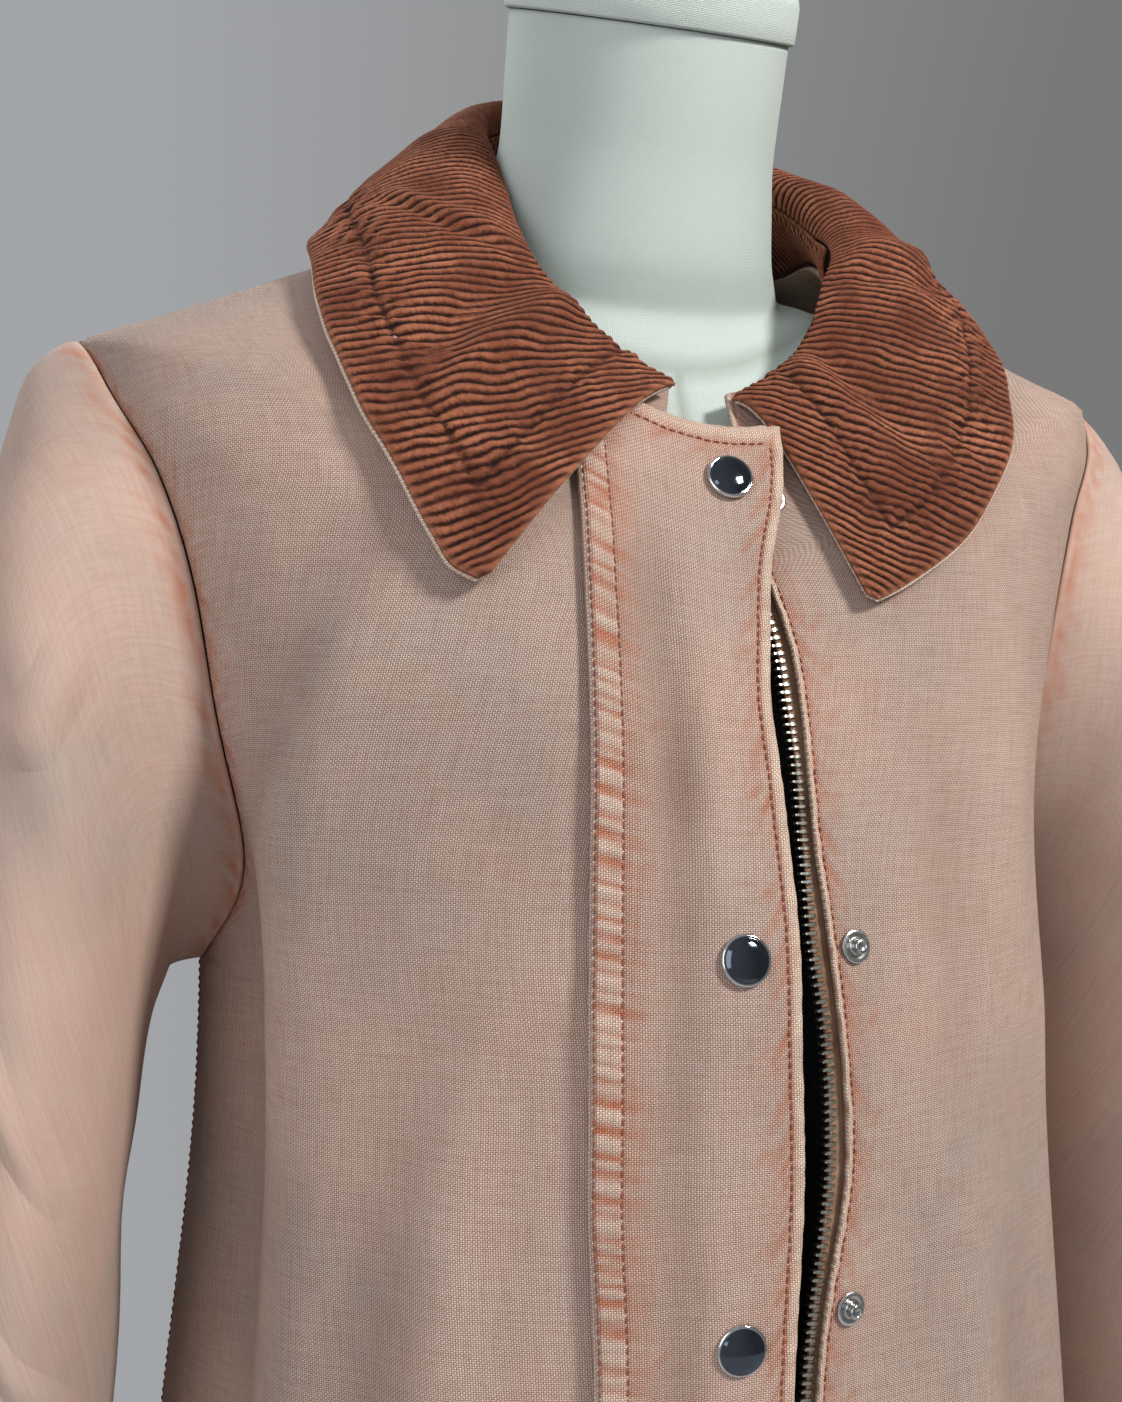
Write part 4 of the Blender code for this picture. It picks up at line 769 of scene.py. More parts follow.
# Pitches are a thread across and a thread up. Colours are linear.
CANVAS_PITCH = (0.70 * MM, 0.60 * MM)
CANVAS_PINK = (0.73, 0.600, 0.522)
CANVAS_GREY = (0.555, 0.490, 0.440)
CANVAS_ROSE = (0.72, 0.490, 0.395)
CANVAS_RUST = (0.62, 0.25, 0.14)
CANVAS_PALE = (0.96, 0.83, 0.69)
CANVAS_GAP = (0.50, 0.36, 0.31)
CANVAS_WEFT = (0.78, 0.71, 0.68)
CANVAS_PAINTED_SHADE = (0.20, 0.12, 0.09)
CANVAS_BUMP = 0.28 * MM
CORD_RIDGE = (0.185, 0.054, 0.026)
CORD_RUBBED = (0.47, 0.185, 0.100)
CORD_DEEP = (0.085, 0.022, 0.012)
CORD_GROOVE_AND_SHADE = (0.016, 0.005, 0.003)
PILE_BUMP = 0.45 * MM
RIM_PAINTED_HIGHLIGHT = (0.62, 0.62, 0.62)
# name, colour, roughness and how dull its worn places are
METALS = [
    ("worn_nickel", (0.66, 0.62, 0.55), 0.24, 0.5),
    ("bright_steel", (0.50, 0.50, 0.49), 0.22, 0.4),
    ("dark_chrome", (0.085, 0.10, 0.125), 0.07, 0.2),
]
THREAD_RUST = (0.33, 0.085, 0.035)
THREAD_DARK = (0.16, 0.04, 0.02)
STAND_BLACK = (0.018, 0.018, 0.019)
STAND_RUBBED = (0.05, 0.048, 0.046)
FORM_PITCH = (0.60 * MM, 0.50 * MM)
FORM_BUMP = 0.22 * MM
FORM_PALE = (0.66, 0.74, 0.69)
FORM_GREY = (0.58, 0.655, 0.61)
FORM_GAP = (0.34, 0.38, 0.34)
# Painted shade: inside the jacket the torso's cover is coloured near black below these heights, so the gap
# down the open front shows nothing but black.
FORM_PAINTED_SHADE = (0.030, 0.026, 0.024)
FORM_PAINTED_SHADE_Z = 1.320
FORM_PAINTED_SHADE_FADE = 0.045
TAPE_PITCH = (0.5 * MM, 0.45 * MM)
TAPE_TAN = (0.40, 0.24, 0.15)
TAPE_DARK = (0.22, 0.11, 0.06)


class Paint:
    """A short way to write a Principled material's nodes."""

    def __init__(self, name, roughness, metallic=0.0, sheen=0.0, specular=0.5):
        self.material = bpy.data.materials.new(name)
        self.material.use_nodes = True
        self.tree = self.material.node_tree
        self.shader = self.tree.nodes["Principled BSDF"]
        self.set("Roughness", roughness)
        self.set("Metallic", metallic)
        self.set("Sheen Weight", sheen)
        self.set("Sheen Roughness", 0.45)
        self.set("Specular IOR Level", specular)

    def set(self, socket, value):
        self.shader.inputs[socket].default_value = value

    def link(self, value, socket):
        if isinstance(value, bpy.types.NodeSocket):
            self.tree.links.new(value, socket)
        else:
            socket.default_value = value

    def math(self, operation, a, b=0.0, c=0.0):
        node = self.tree.nodes.new("ShaderNodeMath")
        node.operation = operation
        for value, socket in zip((a, b, c), node.inputs):
            self.link(value, socket)
        return node.outputs[0]

    def times(self, a, b):
        return self.math("MULTIPLY", a, b)

    def plus(self, a, b):
        return self.math("ADD", a, b)

    def base(self, colour):
        self.link(colour, self.shader.inputs["Base Color"])

    def mix(self, factor, a, b, blend="MIX"):
        node = self.tree.nodes.new("ShaderNodeMix")
        node.data_type = "RGBA"
        node.blend_type = blend
        self.link(factor, node.inputs["Factor"])
        for value, socket in ((a, node.inputs[6]), (b, node.inputs[7])):
            self.link((*value, 1) if isinstance(value, tuple) and len(value) == 3 else value, socket)
        return node.outputs[2]

    def mark(self, name):
        node = self.tree.nodes.new("ShaderNodeAttribute")
        node.attribute_name = name
        return node.outputs["Fac"]

    def cut(self):
        node = self.tree.nodes.new("ShaderNodeUVMap")
        node.uv_map = "cut"
        split = self.tree.nodes.new("ShaderNodeSeparateXYZ")
        self.tree.links.new(node.outputs[0], split.inputs[0])
        return split.outputs[0], split.outputs[1]

    def vector(self, x, y, z=0.0):
        node = self.tree.nodes.new("ShaderNodeCombineXYZ")
        for value, socket in zip((x, y, z), node.inputs):
            self.link(value, socket)
        return node.outputs[0]

    def place(self):
        return self.tree.nodes.new("ShaderNodeTexCoord").outputs["Object"]

    def fibres(self, u_scale, v_scale, detail=2.0, roughness=0.5):
        """Noise drawn out along the cut's own threads."""
        u, v = self.cut()
        return self.noise(self.vector(self.times(u, u_scale), self.times(v, v_scale)), 1.0, detail, roughness)

    def noise(self, vector, scale, detail=3.0, roughness=0.5):
        node = self.tree.nodes.new("ShaderNodeTexNoise")
        self.link(vector, node.inputs["Vector"])
        node.inputs["Scale"].default_value = scale
        node.inputs["Detail"].default_value = detail
        node.inputs["Roughness"].default_value = roughness
        return node.outputs["Fac"]

    def range(self, value, low, high, new_low=0.0, new_high=1.0):
        node = self.tree.nodes.new("ShaderNodeMapRange")
        for v, socket in zip((value, low, high, new_low, new_high), node.inputs):
            self.link(v, socket)
        return node.outputs[0]

    def bump(self, height, distance, strength=1.0):
        node = self.tree.nodes.new("ShaderNodeBump")
        node.inputs["Distance"].default_value = distance
        node.inputs["Strength"].default_value = strength
        self.link(height, node.inputs["Height"])
        self.link(node.outputs[0], self.shader.inputs["Normal"])

    def weave(self, pitch_u, pitch_v, uneven=0.25):
        """Plain weave's height from the cut's own coordinates, 0 in the gaps to 1 on the threads."""
        u, v = self.cut()
        place = self.vector(u, v)
        drift = self.noise(place, 130.0, 2.0)
        wander = self.times(self.math("SUBTRACT", drift, 0.5), uneven * 10)
        a = self.math("MULTIPLY_ADD", u, math.pi / pitch_u, wander)
        b = self.math("MULTIPLY_ADD", v, math.pi / pitch_v, self.times(wander, -0.8))
        sin_a, sin_b = self.math("SINE", a), self.math("SINE", b)
        over = self.math("GREATER_THAN", self.times(sin_a, sin_b), 0.0)
        round_a, round_b = self.math("ABSOLUTE", sin_a), self.math("ABSOLUTE", sin_b)
        warp = self.times(round_a, self.math("MULTIPLY_ADD", round_b, 0.45, 0.55))
        weft = self.times(round_b, self.math("MULTIPLY_ADD", round_a, 0.45, 0.55))
        height = self.plus(self.times(warp, over), self.times(weft, self.math("SUBTRACT", 1.0, over)))
        return height, over


def canvas_material(name, contrast=1.0):
    """Garment-dyed duck: pale threads over rust gaps, greyer in patches, rust by seams, pale on worn edges,
    with a painted highlight on crease ridges and painted shade in crease and fold troughs.

    contrast is how far the weave shows: a regular one would make rings of moire on the sleeves.
    """
    p = Paint(name, 0.9, sheen=0.05, specular=0.2)
    height, over = p.weave(*CANVAS_PITCH)
    place = p.place()
    broad = p.range(p.noise(place, 11.0, 3.0), 0.38, 0.64)
    middle = p.range(p.noise(place, 42.0, 4.0, 0.6), 0.35, 0.70)
    colour = p.mix(broad, CANVAS_PINK, CANVAS_GREY)
    colour = p.mix(p.times(middle, 0.35), colour, CANVAS_ROSE)
    rust = p.mark("rust")
    worn = p.times(rust, p.range(p.noise(place, 160.0, 3.0), 0.30, 0.62, 0.55, 1.0))
    colour = p.mix(worn, colour, CANVAS_RUST)
    # pale: worn edges, and on the panels also a painted highlight on crease ridges
    colour = p.mix(p.mark("pale"), colour, CANVAS_PALE)
    threads = p.plus(p.times(p.fibres(60.0, 900.0), 0.5), p.times(p.fibres(900.0, 60.0), 0.5))
    thread = p.times(height, p.range(threads, 0.35, 0.65, 0.72, 1.12))
    weft = p.mix(1.0, colour, CANVAS_WEFT, "MULTIPLY")
    share = p.math("MULTIPLY_ADD", p.math("SUBTRACT", 0.5, over), contrast, 0.5)
    colour = p.mix(share, colour, weft)
    gap = p.mix(1.0, colour, CANVAS_GAP, "MULTIPLY")
    shown = p.range(thread, 0.18, 0.85, 0.6 - 0.6 * contrast, 0.6 + 0.4 * contrast)
    colour = p.mix(shown, gap, colour)
    colour = p.mix(p.range(threads, 0.38, 0.62, 0.0, 0.30 * (1.0 - contrast)), colour, gap)
    # painted shade: the shade mark darkens crease and fold troughs
    colour = p.mix(p.times(p.mark("shade"), 0.7), colour, CANVAS_PAINTED_SHADE)
    p.base(colour)
    p.bump(p.plus(p.times(height, contrast), p.times(threads, 0.6)), CANVAS_BUMP, 0.9)
    return p.material


def corduroy_material():
    """Wide-wale corduroy: a rubbed pile on each ridge, dark between (the ground cloth, deepened with painted
    shade), with a soft nap.
    """
    p = Paint("corduroy", 0.85, sheen=0.03, specular=0.15)
    place = p.place()
    pile = p.times(p.math("SUBTRACT", p.fibres(1900.0, 900.0, 4.0, 0.7), 0.5), 0.9)
    tufts = p.times(p.math("SUBTRACT", p.fibres(420.0, 420.0, 2.0, 0.6), 0.5), 0.7)
    rough = p.plus(pile, tufts)
    height = p.plus(p.mark("ridge"), rough)
    # grooves: the darker ground cloth between wales, deepened to near black as painted shade
    colour = p.mix(p.range(height, 0.34, 0.95), CORD_GROOVE_AND_SHADE, CORD_RIDGE)
    patches = p.range(p.noise(place, 38.0, 4.0, 0.6), 0.38, 0.66)
    rubbed = p.times(patches, p.range(height, 0.60, 1.1))
    colour = p.mix(p.times(rubbed, 0.75), colour, CORD_RUBBED)
    lying = p.range(p.noise(place, 75.0, 3.0), 0.46, 0.66)
    colour = p.mix(p.times(lying, 0.45), colour, CORD_DEEP)
    colour = p.mix(p.mark("pale"), colour, CORD_RUBBED)
    p.base(colour)
    p.bump(rough, PILE_BUMP, 0.9)
    return p.material


def form_material():
    """The form's own cover: a fine, tight, pale canvas, with painted shade in its seams and painted
    near-black shade on the torso inside the jacket.
    """
    p = Paint("form_canvas", 0.9, sheen=0.08, specular=0.25)
    height, over = p.weave(*FORM_PITCH, 0.12)
    place = p.place()
    colour = p.mix(p.range(p.noise(place, 9.0, 3.0), 0.35, 0.68), FORM_PALE, FORM_GREY)
    colour = p.mix(p.times(over, 0.14), colour, FORM_GAP)
    colour = p.mix(p.range(height, 0.05, 0.75, 0.30, 0.0), colour, FORM_GAP)
    colour = p.mix(p.times(p.mark("shade"), 0.75), colour, FORM_GAP)
    # painted shade: the torso inside the jacket is coloured near black
    colour = p.mix(p.mark("painted_gap_shade"), colour, FORM_PAINTED_SHADE)
    p.base(colour)
    p.bump(height, FORM_BUMP, 0.8)
    return p.material


def metal_material(name, colour, roughness, wear):
    """Plated metal with fine rubbing marks, and a painted highlight on the rims of snaps."""
    p = Paint(name, roughness, metallic=1.0)
    place = p.place()
    marks = p.noise(place, 900.0, 4.0, 0.7)
    dull = p.noise(place, 160.0, 3.0)
    tone = p.mix(p.range(dull, 0.40, 0.75, 0.0, wear), colour, tuple(c * 0.45 for c in colour))
    # painted highlight: the rim mark lightens the rolled rim's colour
    p.base(p.mix(p.mark("rim"), tone, RIM_PAINTED_HIGHLIGHT))
    p.link(p.range(marks, 0.3, 0.8, roughness * 0.7, roughness * 1.6), p.shader.inputs["Roughness"])
    p.bump(marks, 0.02 * MM, 0.5)
    return p.material


def thread_material():
    """Rust thread, its twist a fine noise."""
    p = Paint("rust_thread", 0.75, sheen=0.2)
    place = p.place()
    twist = p.noise(place, 2600.0, 2.0)
    colour = p.mix(p.range(twist, 0.35, 0.7), THREAD_RUST, THREAD_DARK)
    colour = p.mix(p.range(p.noise(place, 60.0, 2.0), 0.45, 0.7, 0.0, 0.5), colour, THREAD_DARK)
    p.base(colour)
    p.bump(twist, 0.08 * MM)
    return p.material


def tape_material():
    """Woven zip tape."""
    p = Paint("zip_tape", 0.85, sheen=0.1, specular=0.3)
    height, _ = p.weave(*TAPE_PITCH, 0.1)
    colour = p.mix(p.range(p.noise(p.place(), 70.0, 3.0), 0.35, 0.7), TAPE_TAN, TAPE_DARK)
    colour = p.mix(p.range(height, 0.1, 0.7, 0.5, 0.0), colour, TAPE_DARK)
    p.base(colour)
    p.bump(height, 0.15 * MM)
    return p.material


def paint_material():
    """Matt black paint on the stand, with a fine texture and small rubs."""
    p = Paint("painted_metal", 0.5)
    place = p.place()
    grain = p.noise(place, 700.0, 3.0, 0.6)
    rubs = p.range(p.noise(place, 24.0, 4.0, 0.7), 0.62, 0.80)
    p.base(p.mix(rubs, STAND_BLACK, STAND_RUBBED))
    p.link(p.range(grain, 0.3, 0.7, 0.42, 0.62), p.shader.inputs["Roughness"])
    p.bump(grain, 0.06 * MM, 0.6)
    return p.material


# ---------------------------------------------------------------- the jacket's panels

SEAM_RUST = 7 * MM         # how far from a seam the dye stays rusty and the cloth puckers
FLAP_ROWS = 460
PANEL_ROWS = 230
PANEL_COLS = 96
BACK_COLS = 150
FOLD_STITCH = 2.2 * MM     # a front edge's stitches, in from the fold
HEM_DEPTH = 18 * MM
CUFF_DEPTH = 25 * MM
SEAM_STITCH = 3.0 * MM     # from a seam to the stitches beside it
CUFF_STATION = 0.32        # stations from the sleeve's end to the cuff's stitches
# Stitched edges: the puckers' skew, seed, pitch, fading, height and dye, then the place, depth and
# width of the groove under the stitches.
FOLD_EDGE = (1.5, 0.7, 8.5 * MM, (2.5 * MM, 12 * MM), 0.35 * MM, (0.35, 0.55),
             FOLD_STITCH, 0.35 * MM, 0.8 * MM)
HEM_EDGE = (0.8, 4.0, 9 * MM, (14 * MM, 30 * MM), 0.35 * MM, (0.3, 0.5), HEM_DEPTH, 0.4 * MM, 1.0 * MM)
CUFF_EDGE = (0.7, 1.0, 9 * MM, (12 * MM, 30 * MM), 0.35 * MM, (0.35, 0.5), CUFF_DEPTH, 0.4 * MM, 1.0 * MM)

CREASE_RADIUS = 0.150      # turns the creases' angles into lengths round the body
# Soft creases on the body shell: from (side_z, angle) to (side_z, angle), height in mm, width in m.
CREASES = [
    ("right_collar_pull", 1.360, -38, 1.220, -66, -3.0, 0.011),
    ("right_collar_ridge", 1.330, -36, 1.190, -60, 2.2, 0.011),
    ("right_chest_ridge", 1.300, -46, 1.120, -54, 2.6, 0.016),
    ("right_chest_trough", 1.290, -26, 1.100, -38, -2.4, 0.016),
    ("right_waist_ridge", 1.160, -31, 0.930, -35, 2.8, 0.015),
    ("right_waist_trough", 1.130, -44, 0.900, -49, -3.2, 0.016),
    ("right_bust_pull", 1.190, -21, 1.060, -33, -1.8, 0.010),
    ("right_low_ridge", 0.980, -45, 0.740, -42, 3.2, 0.018),
    ("right_low_trough", 0.940, -31, 0.720, -28, -2.6, 0.016),
    ("left_chest_ridge", 1.300, 38, 1.130, 50, 2.8, 0.015),
    ("left_chest_trough", 1.290, 25, 1.090, 34, -2.4, 0.014),
    ("left_waist_ridge", 1.120, 29, 0.920, 34, 2.8, 0.015),
    ("left_waist_trough", 1.070, 42, 0.860, 44, -3.2, 0.017),
    ("left_low_ridge", 0.950, 26, 0.730, 24, 2.6, 0.017),
    ("back_right_shoulder", 1.360, 233, 1.170, 212, 3.0, 0.018),
    ("back_right_trough", 1.330, 222, 1.120, 204, -2.6, 0.017),
    ("back_left_shoulder", 1.360, 128, 1.170, 147, 3.2, 0.018),
    ("back_left_trough", 1.330, 140, 1.110, 156, -2.8, 0.017),
    ("back_right_side", 1.150, 244, 0.900, 232, -3.6, 0.018),
    ("back_left_side", 1.140, 117, 0.880, 128, -3.4, 0.018),
    ("back_waist", 1.080, 196, 0.830, 205, 3.2, 0.018),
    ("back_waist_left", 1.110, 168, 0.850, 160, 2.8, 0.018),
    ("back_low", 0.950, 183, 0.720, 188, -3.2, 0.020),
    ("back_hip", 0.900, 152, 0.710, 146, 2.6, 0.018),
]


def crease_height(side_z, angle):
    """The soft creases' height at points of the body shell."""
    total = np.zeros(side_z.shape)
    for _, z0, a0, z1, a1, high, width in CREASES:
        across = np.radians(angle_of(angle - a0)) * CREASE_RADIUS
        up = side_z - z0
        dx, dz = math.radians(a1 - a0) * CREASE_RADIUS, z1 - z0
        length = math.hypot(dx, dz)
        t = (across * dx + up * dz) / length**2
        off = (across * dz - up * dx) / length
        off = off + 5 * MM * np.sin(4.2 * t + z0 * 40)
        fade = between(t, (-0.15, 0.35), (0.65, 1.15))
        total += high * MM * fade * bell(off, width)
    # ridges are held down near the opening and under the collar, and troughs are a little deeper
    turn = abs(angle_of(angle))
    gentle = np.clip((turn - 20) / 12, 0, 1) * (1 - smooth_step(side_z, 1.310, 1.345))
    return np.where(total > 0, total * np.where(turn < 100, gentle, 1.0), total * 1.25)


def fine_surface(side_z, angle, relief):
    """Points of the body shell with creases and a relief, and the plain points under them."""
    base = body_point(side_z, angle)
    out = crease_height(side_z, angle) + relief
    normal = body_point(side_z, angle, 1.0) - base
    return base + normal * out[..., None], normal


def cut_table():
    """Length up and round the body shell at a grid of side heights and angles."""
    heights, angles = np.linspace(HEM_Z, NECK_Z, 150), np.linspace(-180, 360, 361)
    points = body_point(heights[:, None], angles[None, :])
    return heights, angles, arc(points, 1), arc(points, 0)


def cut_coordinates(side_z, angle, table):
    """The weave's own coordinates on a panel, smooth whatever its edges do."""
    heights, angles, across, up = table
    row = np.clip(np.interp(side_z, heights, np.arange(len(heights))), 0, len(heights) - 1.001)
    col = np.clip(np.interp(angle, angles, np.arange(len(angles))), 0, len(angles) - 1.001)
    i, j = row.astype(int), col.astype(int)
    t, s = row - i, col - j
    middle = across[:, 180][:, None]

    def read(values):
        low = values[i, j] * (1 - s) + values[i, j + 1] * s
        high = values[i + 1, j] * (1 - s) + values[i + 1, j + 1] * s
        return low * (1 - t) + high * t

    return np.stack([read(across - middle), read(up)], -1)


def denser(count, spots, span, width, gain):
    """Shares from 0 to 1, closer together near some spots (in metres along a span)."""
    x = np.linspace(0, span, 800)
    density = 1 + sum(gain * bell(x - s, width) for s in spots)
    total = np.concatenate([[0], np.cumsum((density[1:] + density[:-1]) / 2)])
    return np.interp(np.linspace(0, total[-1], count), total, x / span)


def seam_marks(distance, along, seed, reach=SEAM_RUST):
    """Pucker height and dye near a seam: distance from it and length along it, in metres."""
    r = rope(along, distance * 1.2, seed)
    near = 1 - smooth_step(distance, 0.35 * reach, 1.5 * reach)
    pucker = 0.28 * MM * r * near
    rust = np.clip(0.42 - 0.50 * r, 0, 1) * near + 0.5 * bell(distance - 1.5 * MM, 1.5 * MM)
    return pucker, np.clip(rust, 0, 1)


def stitched_edge(along, distance, skew, seed, pitch, fades, rise, dye, row, depth, width):
    """Relief and dye beside an edge whose row of stitches puckers the cloth."""
    r = rope(along, distance * skew, seed, pitch)
    near = 1 - smooth_step(distance, *fades)
    relief = rise * r * near - depth * bell(distance - row, width)
    return relief, near * np.clip(dye[0] - dye[1] * r, 0, 1)


def build_panel(name, left_angle, right_angle, cols, edge_kinds, surface, table):
    """A panel between two edges. edge_kinds tells what is at its left and right: seam, fold or plain."""
    heights = np.linspace(HEM_Z, NECK_Z, PANEL_ROWS)
    start, end = left_angle(heights), right_angle(heights)
    coarse = body_point(heights[:, None], start[:, None] + (end - start)[:, None] * np.linspace(0, 1, 40))
    span = float(arc(coarse, 1)[0, -1])
    share = denser(cols, (0.0, span), span, 0.010, 3.0)
    angle = start[:, None] + (end - start)[:, None] * share
    side_z = np.broadcast_to(heights[:, None], angle.shape).copy()
    across = arc(body_point(side_z, angle), 1)
    uv = cut_coordinates(side_z, angle, table)
    up = uv[..., 1]
    from_left, from_right = across, across[:, -1:] - across
    relief, rust, pale, shade = (np.zeros(side_z.shape) for _ in range(4))
    for kind, distance, seed in ((edge_kinds[0], from_left, 0.7), (edge_kinds[1], from_right, 2.1)):
        if kind == "seam":
            pucker, dye = seam_marks(distance, up, seed)
            relief += pucker * (1 - bell(distance, 1.2 * MM))
            rust = np.maximum(rust, dye)
            pale = np.maximum(pale, 0.35 * bell(distance, 1.2 * MM))
        elif kind == "fold":
            pucker, dye = stitched_edge(up, distance, *FOLD_EDGE)
            relief += pucker
            rust = np.maximum(rust, dye)
            rust = np.maximum(rust, 0.7 * bell(distance - FOLD_STITCH, 1.0 * MM))
            pale = np.maximum(pale, 0.85 * (1 - smooth_step(distance, 1.0 * MM, 2.0 * MM)))
    hem = side_z - HEM_Z
    pucker, dye = stitched_edge(across, hem, *HEM_EDGE)
    relief += pucker
    rust = np.maximum(rust, dye)
    pale = np.maximum(pale, 0.8 * bell(hem, 1.3 * MM))
    creases = crease_height(side_z, angle)
    # painted shade in the creases' troughs, and a painted highlight (pale) on their ridges
    shade += 0.22 * np.clip(-creases / (3 * MM), 0, 1)
    pale = np.maximum(pale, 0.12 * np.clip(creases / (3 * MM), 0, 1))
    blot = rope(up, across * 0.5, 3.0, 26 * MM) * rope(up, -across, 1.5, 12 * MM)
    beside = bell(from_left - 9 * MM, 8 * MM) + bell(from_right - 9 * MM, 8 * MM)
    rust = np.maximum(rust, np.clip(blot * 0.9 - 0.15, 0, 0.5) * beside)
    outer, normal = fine_surface(side_z, angle, relief)
    rows = every(4, PANEL_ROWS)
    inner = outer[rows] - normal[rows] * CANVAS
    mesh = shell(name + "_cloth", outer, inner, rows, uv, {"rust": rust, "pale": pale, "shade": shade})
    return add_piece(name + "_cloth", mesh, surface, nodes=(name,))


def stitch_run(points, normals, pitch=2.9 * MM, share=0.74, radius=0.30 * MM, rise=0.16 * MM):
    """Stitches along a line of points: each one a short bent thread, as points and faces."""
    length = line_lengths(points)
    count = max(int(length[-1] / pitch), 1)
    sides, steps = 5, 6
    starts = (np.arange(count) + 0.5 * (1 - share)) * pitch
    t = np.linspace(0, 1, steps)
    at = starts[:, None] + t[None, :] * pitch * share
    centre = read_line(at, length, points)
    normal = unit(read_line(at, length, normals))
    arch = np.sin(np.pi * t)
    centre = centre + normal * (rise * (2.2 * arch - 1.0))[None, :, None]
    side = np.cross(unit(np.gradient(centre, axis=1)), normal)
    thick = radius * np.clip(0.55 + 0.9 * arch, 0, 1)
    turn = np.arange(sides) * 2 * np.pi / sides
    ring = (centre[:, :, None]
            + side[:, :, None] * (np.cos(turn) * thick[:, None])[None, :, :, None]
            + normal[:, :, None] * (np.sin(turn) * thick[:, None])[None, :, :, None])
    faces = repeated_rings(count, steps, sides)
    return ring.reshape(-1, 3), faces


def sew(piece, lines, thread):
    """A panel's rows of stitches, as one piece that goes with it."""
    build_stitches(piece.name.replace("_cloth", "_stitches"), [stitch_run(*line) for line in lines], thread)


def build_stitches(name, runs, surface, body=BODY_NAME):
    points, faces, start = [], [], 0
    for run_points, run_faces in runs:
        points.append(run_points)
        faces += [face + start for face in run_faces]
        start += len(run_points)
    mesh = make_mesh(name, np.concatenate(points), faces)
    return add_piece(name, mesh, surface, body)


def panel_line(angle_at, heights, distance=0.0, direction=1):
    """A stitch line on a panel: points and normals a given distance in from an edge."""
    edge = angle_at(heights)
    angle = edge + direction * degrees_for(distance, heights, edge)
    points, normal = fine_surface(heights, angle, np.zeros(heights.shape) - 0.25 * MM)
    return points, normal


def seam_line(angle_at, heights, distance, direction):
    """A stitch line beside a panel's edge that may run any way: its points and normals."""
    points, normal = fine_surface(heights, angle_at(heights), np.zeros(heights.shape))
    side = np.cross(unit(np.gradient(points, axis=0)), normal)
    return points + side * distance * direction, normal


def hem_line(left, right):
    """The hem's stitches on a panel, between two angles given at its edges."""
    height = HEM_Z + HEM_DEPTH
    a, b = float(left(np.array([height]))[0]), float(right(np.array([height]))[0])
    angle = np.linspace(a + 1, b - 1, 500)
    return fine_surface(height + 0 * angle, angle, 0 * angle - 0.3 * MM)


def cuff_line(side):
    """The cuff's stitches, round the sleeve."""
    turns = np.linspace(0, 360, 400)
    station = SLEEVE_ENDS - CUFF_STATION + 0 * turns
    base = sleeve_point(side, station, turns)
    inward = sleeve_wall(side, station, turns, 1.0) - base
    return base, -inward


# ---------------------------------------------------------------- the storm flap

FLAP_COLS = 62
FLAP_STITCH_EDGE = 4.2 * MM
FLAP_STITCH_TOP = 5.0 * MM
FLAP_SLOPE_Z = 1.30        # above this the rows tilt with the sloping top edge
FLAP_TOP_TILT = 0.80       # turns a drop in height into the distance from that edge
FLAP_THREAD_LIFT = 0.22 * MM
FLAP_EDGE = (1.6, 3.4, 9.5 * MM, (4 * MM, 15 * MM), 0.26 * MM, (0.30, 0.6),
             FLAP_STITCH_EDGE, 0.40 * MM, 0.8 * MM)
FLAP_TOP = (1.6, 5.0, 8 * MM, (4 * MM, 14 * MM), 0.24 * MM, (0.30, 0.5),
            FLAP_STITCH_TOP, 0.38 * MM, 0.8 * MM)
# Soft folds down the flap: from one side_z to a lower one, and across from the ridge, in mm.
FLAP_FOLDS = [
    (1.385, 1.250, 22, 21, -1.7, 6.0),
    (1.330, 1.160, 27, 25, -1.6, 6.0),
    (1.370, 1.200, 33, 33, 1.2, 6.0),
    (1.330, 1.120, 16, 17, 0.9, 4.5),
    (1.200, 1.020, 24, 20, -1.4, 6.0),
    (1.150, 0.940, 34, 36, 1.1, 6.0),
    (1.080, 0.880, 19, 23, -1.2, 6.0),
    (0.930, 0.730, 28, 24, -1.4, 6.0),
    (0.900, 0.720, 38, 40, 1.0, 6.0),
]


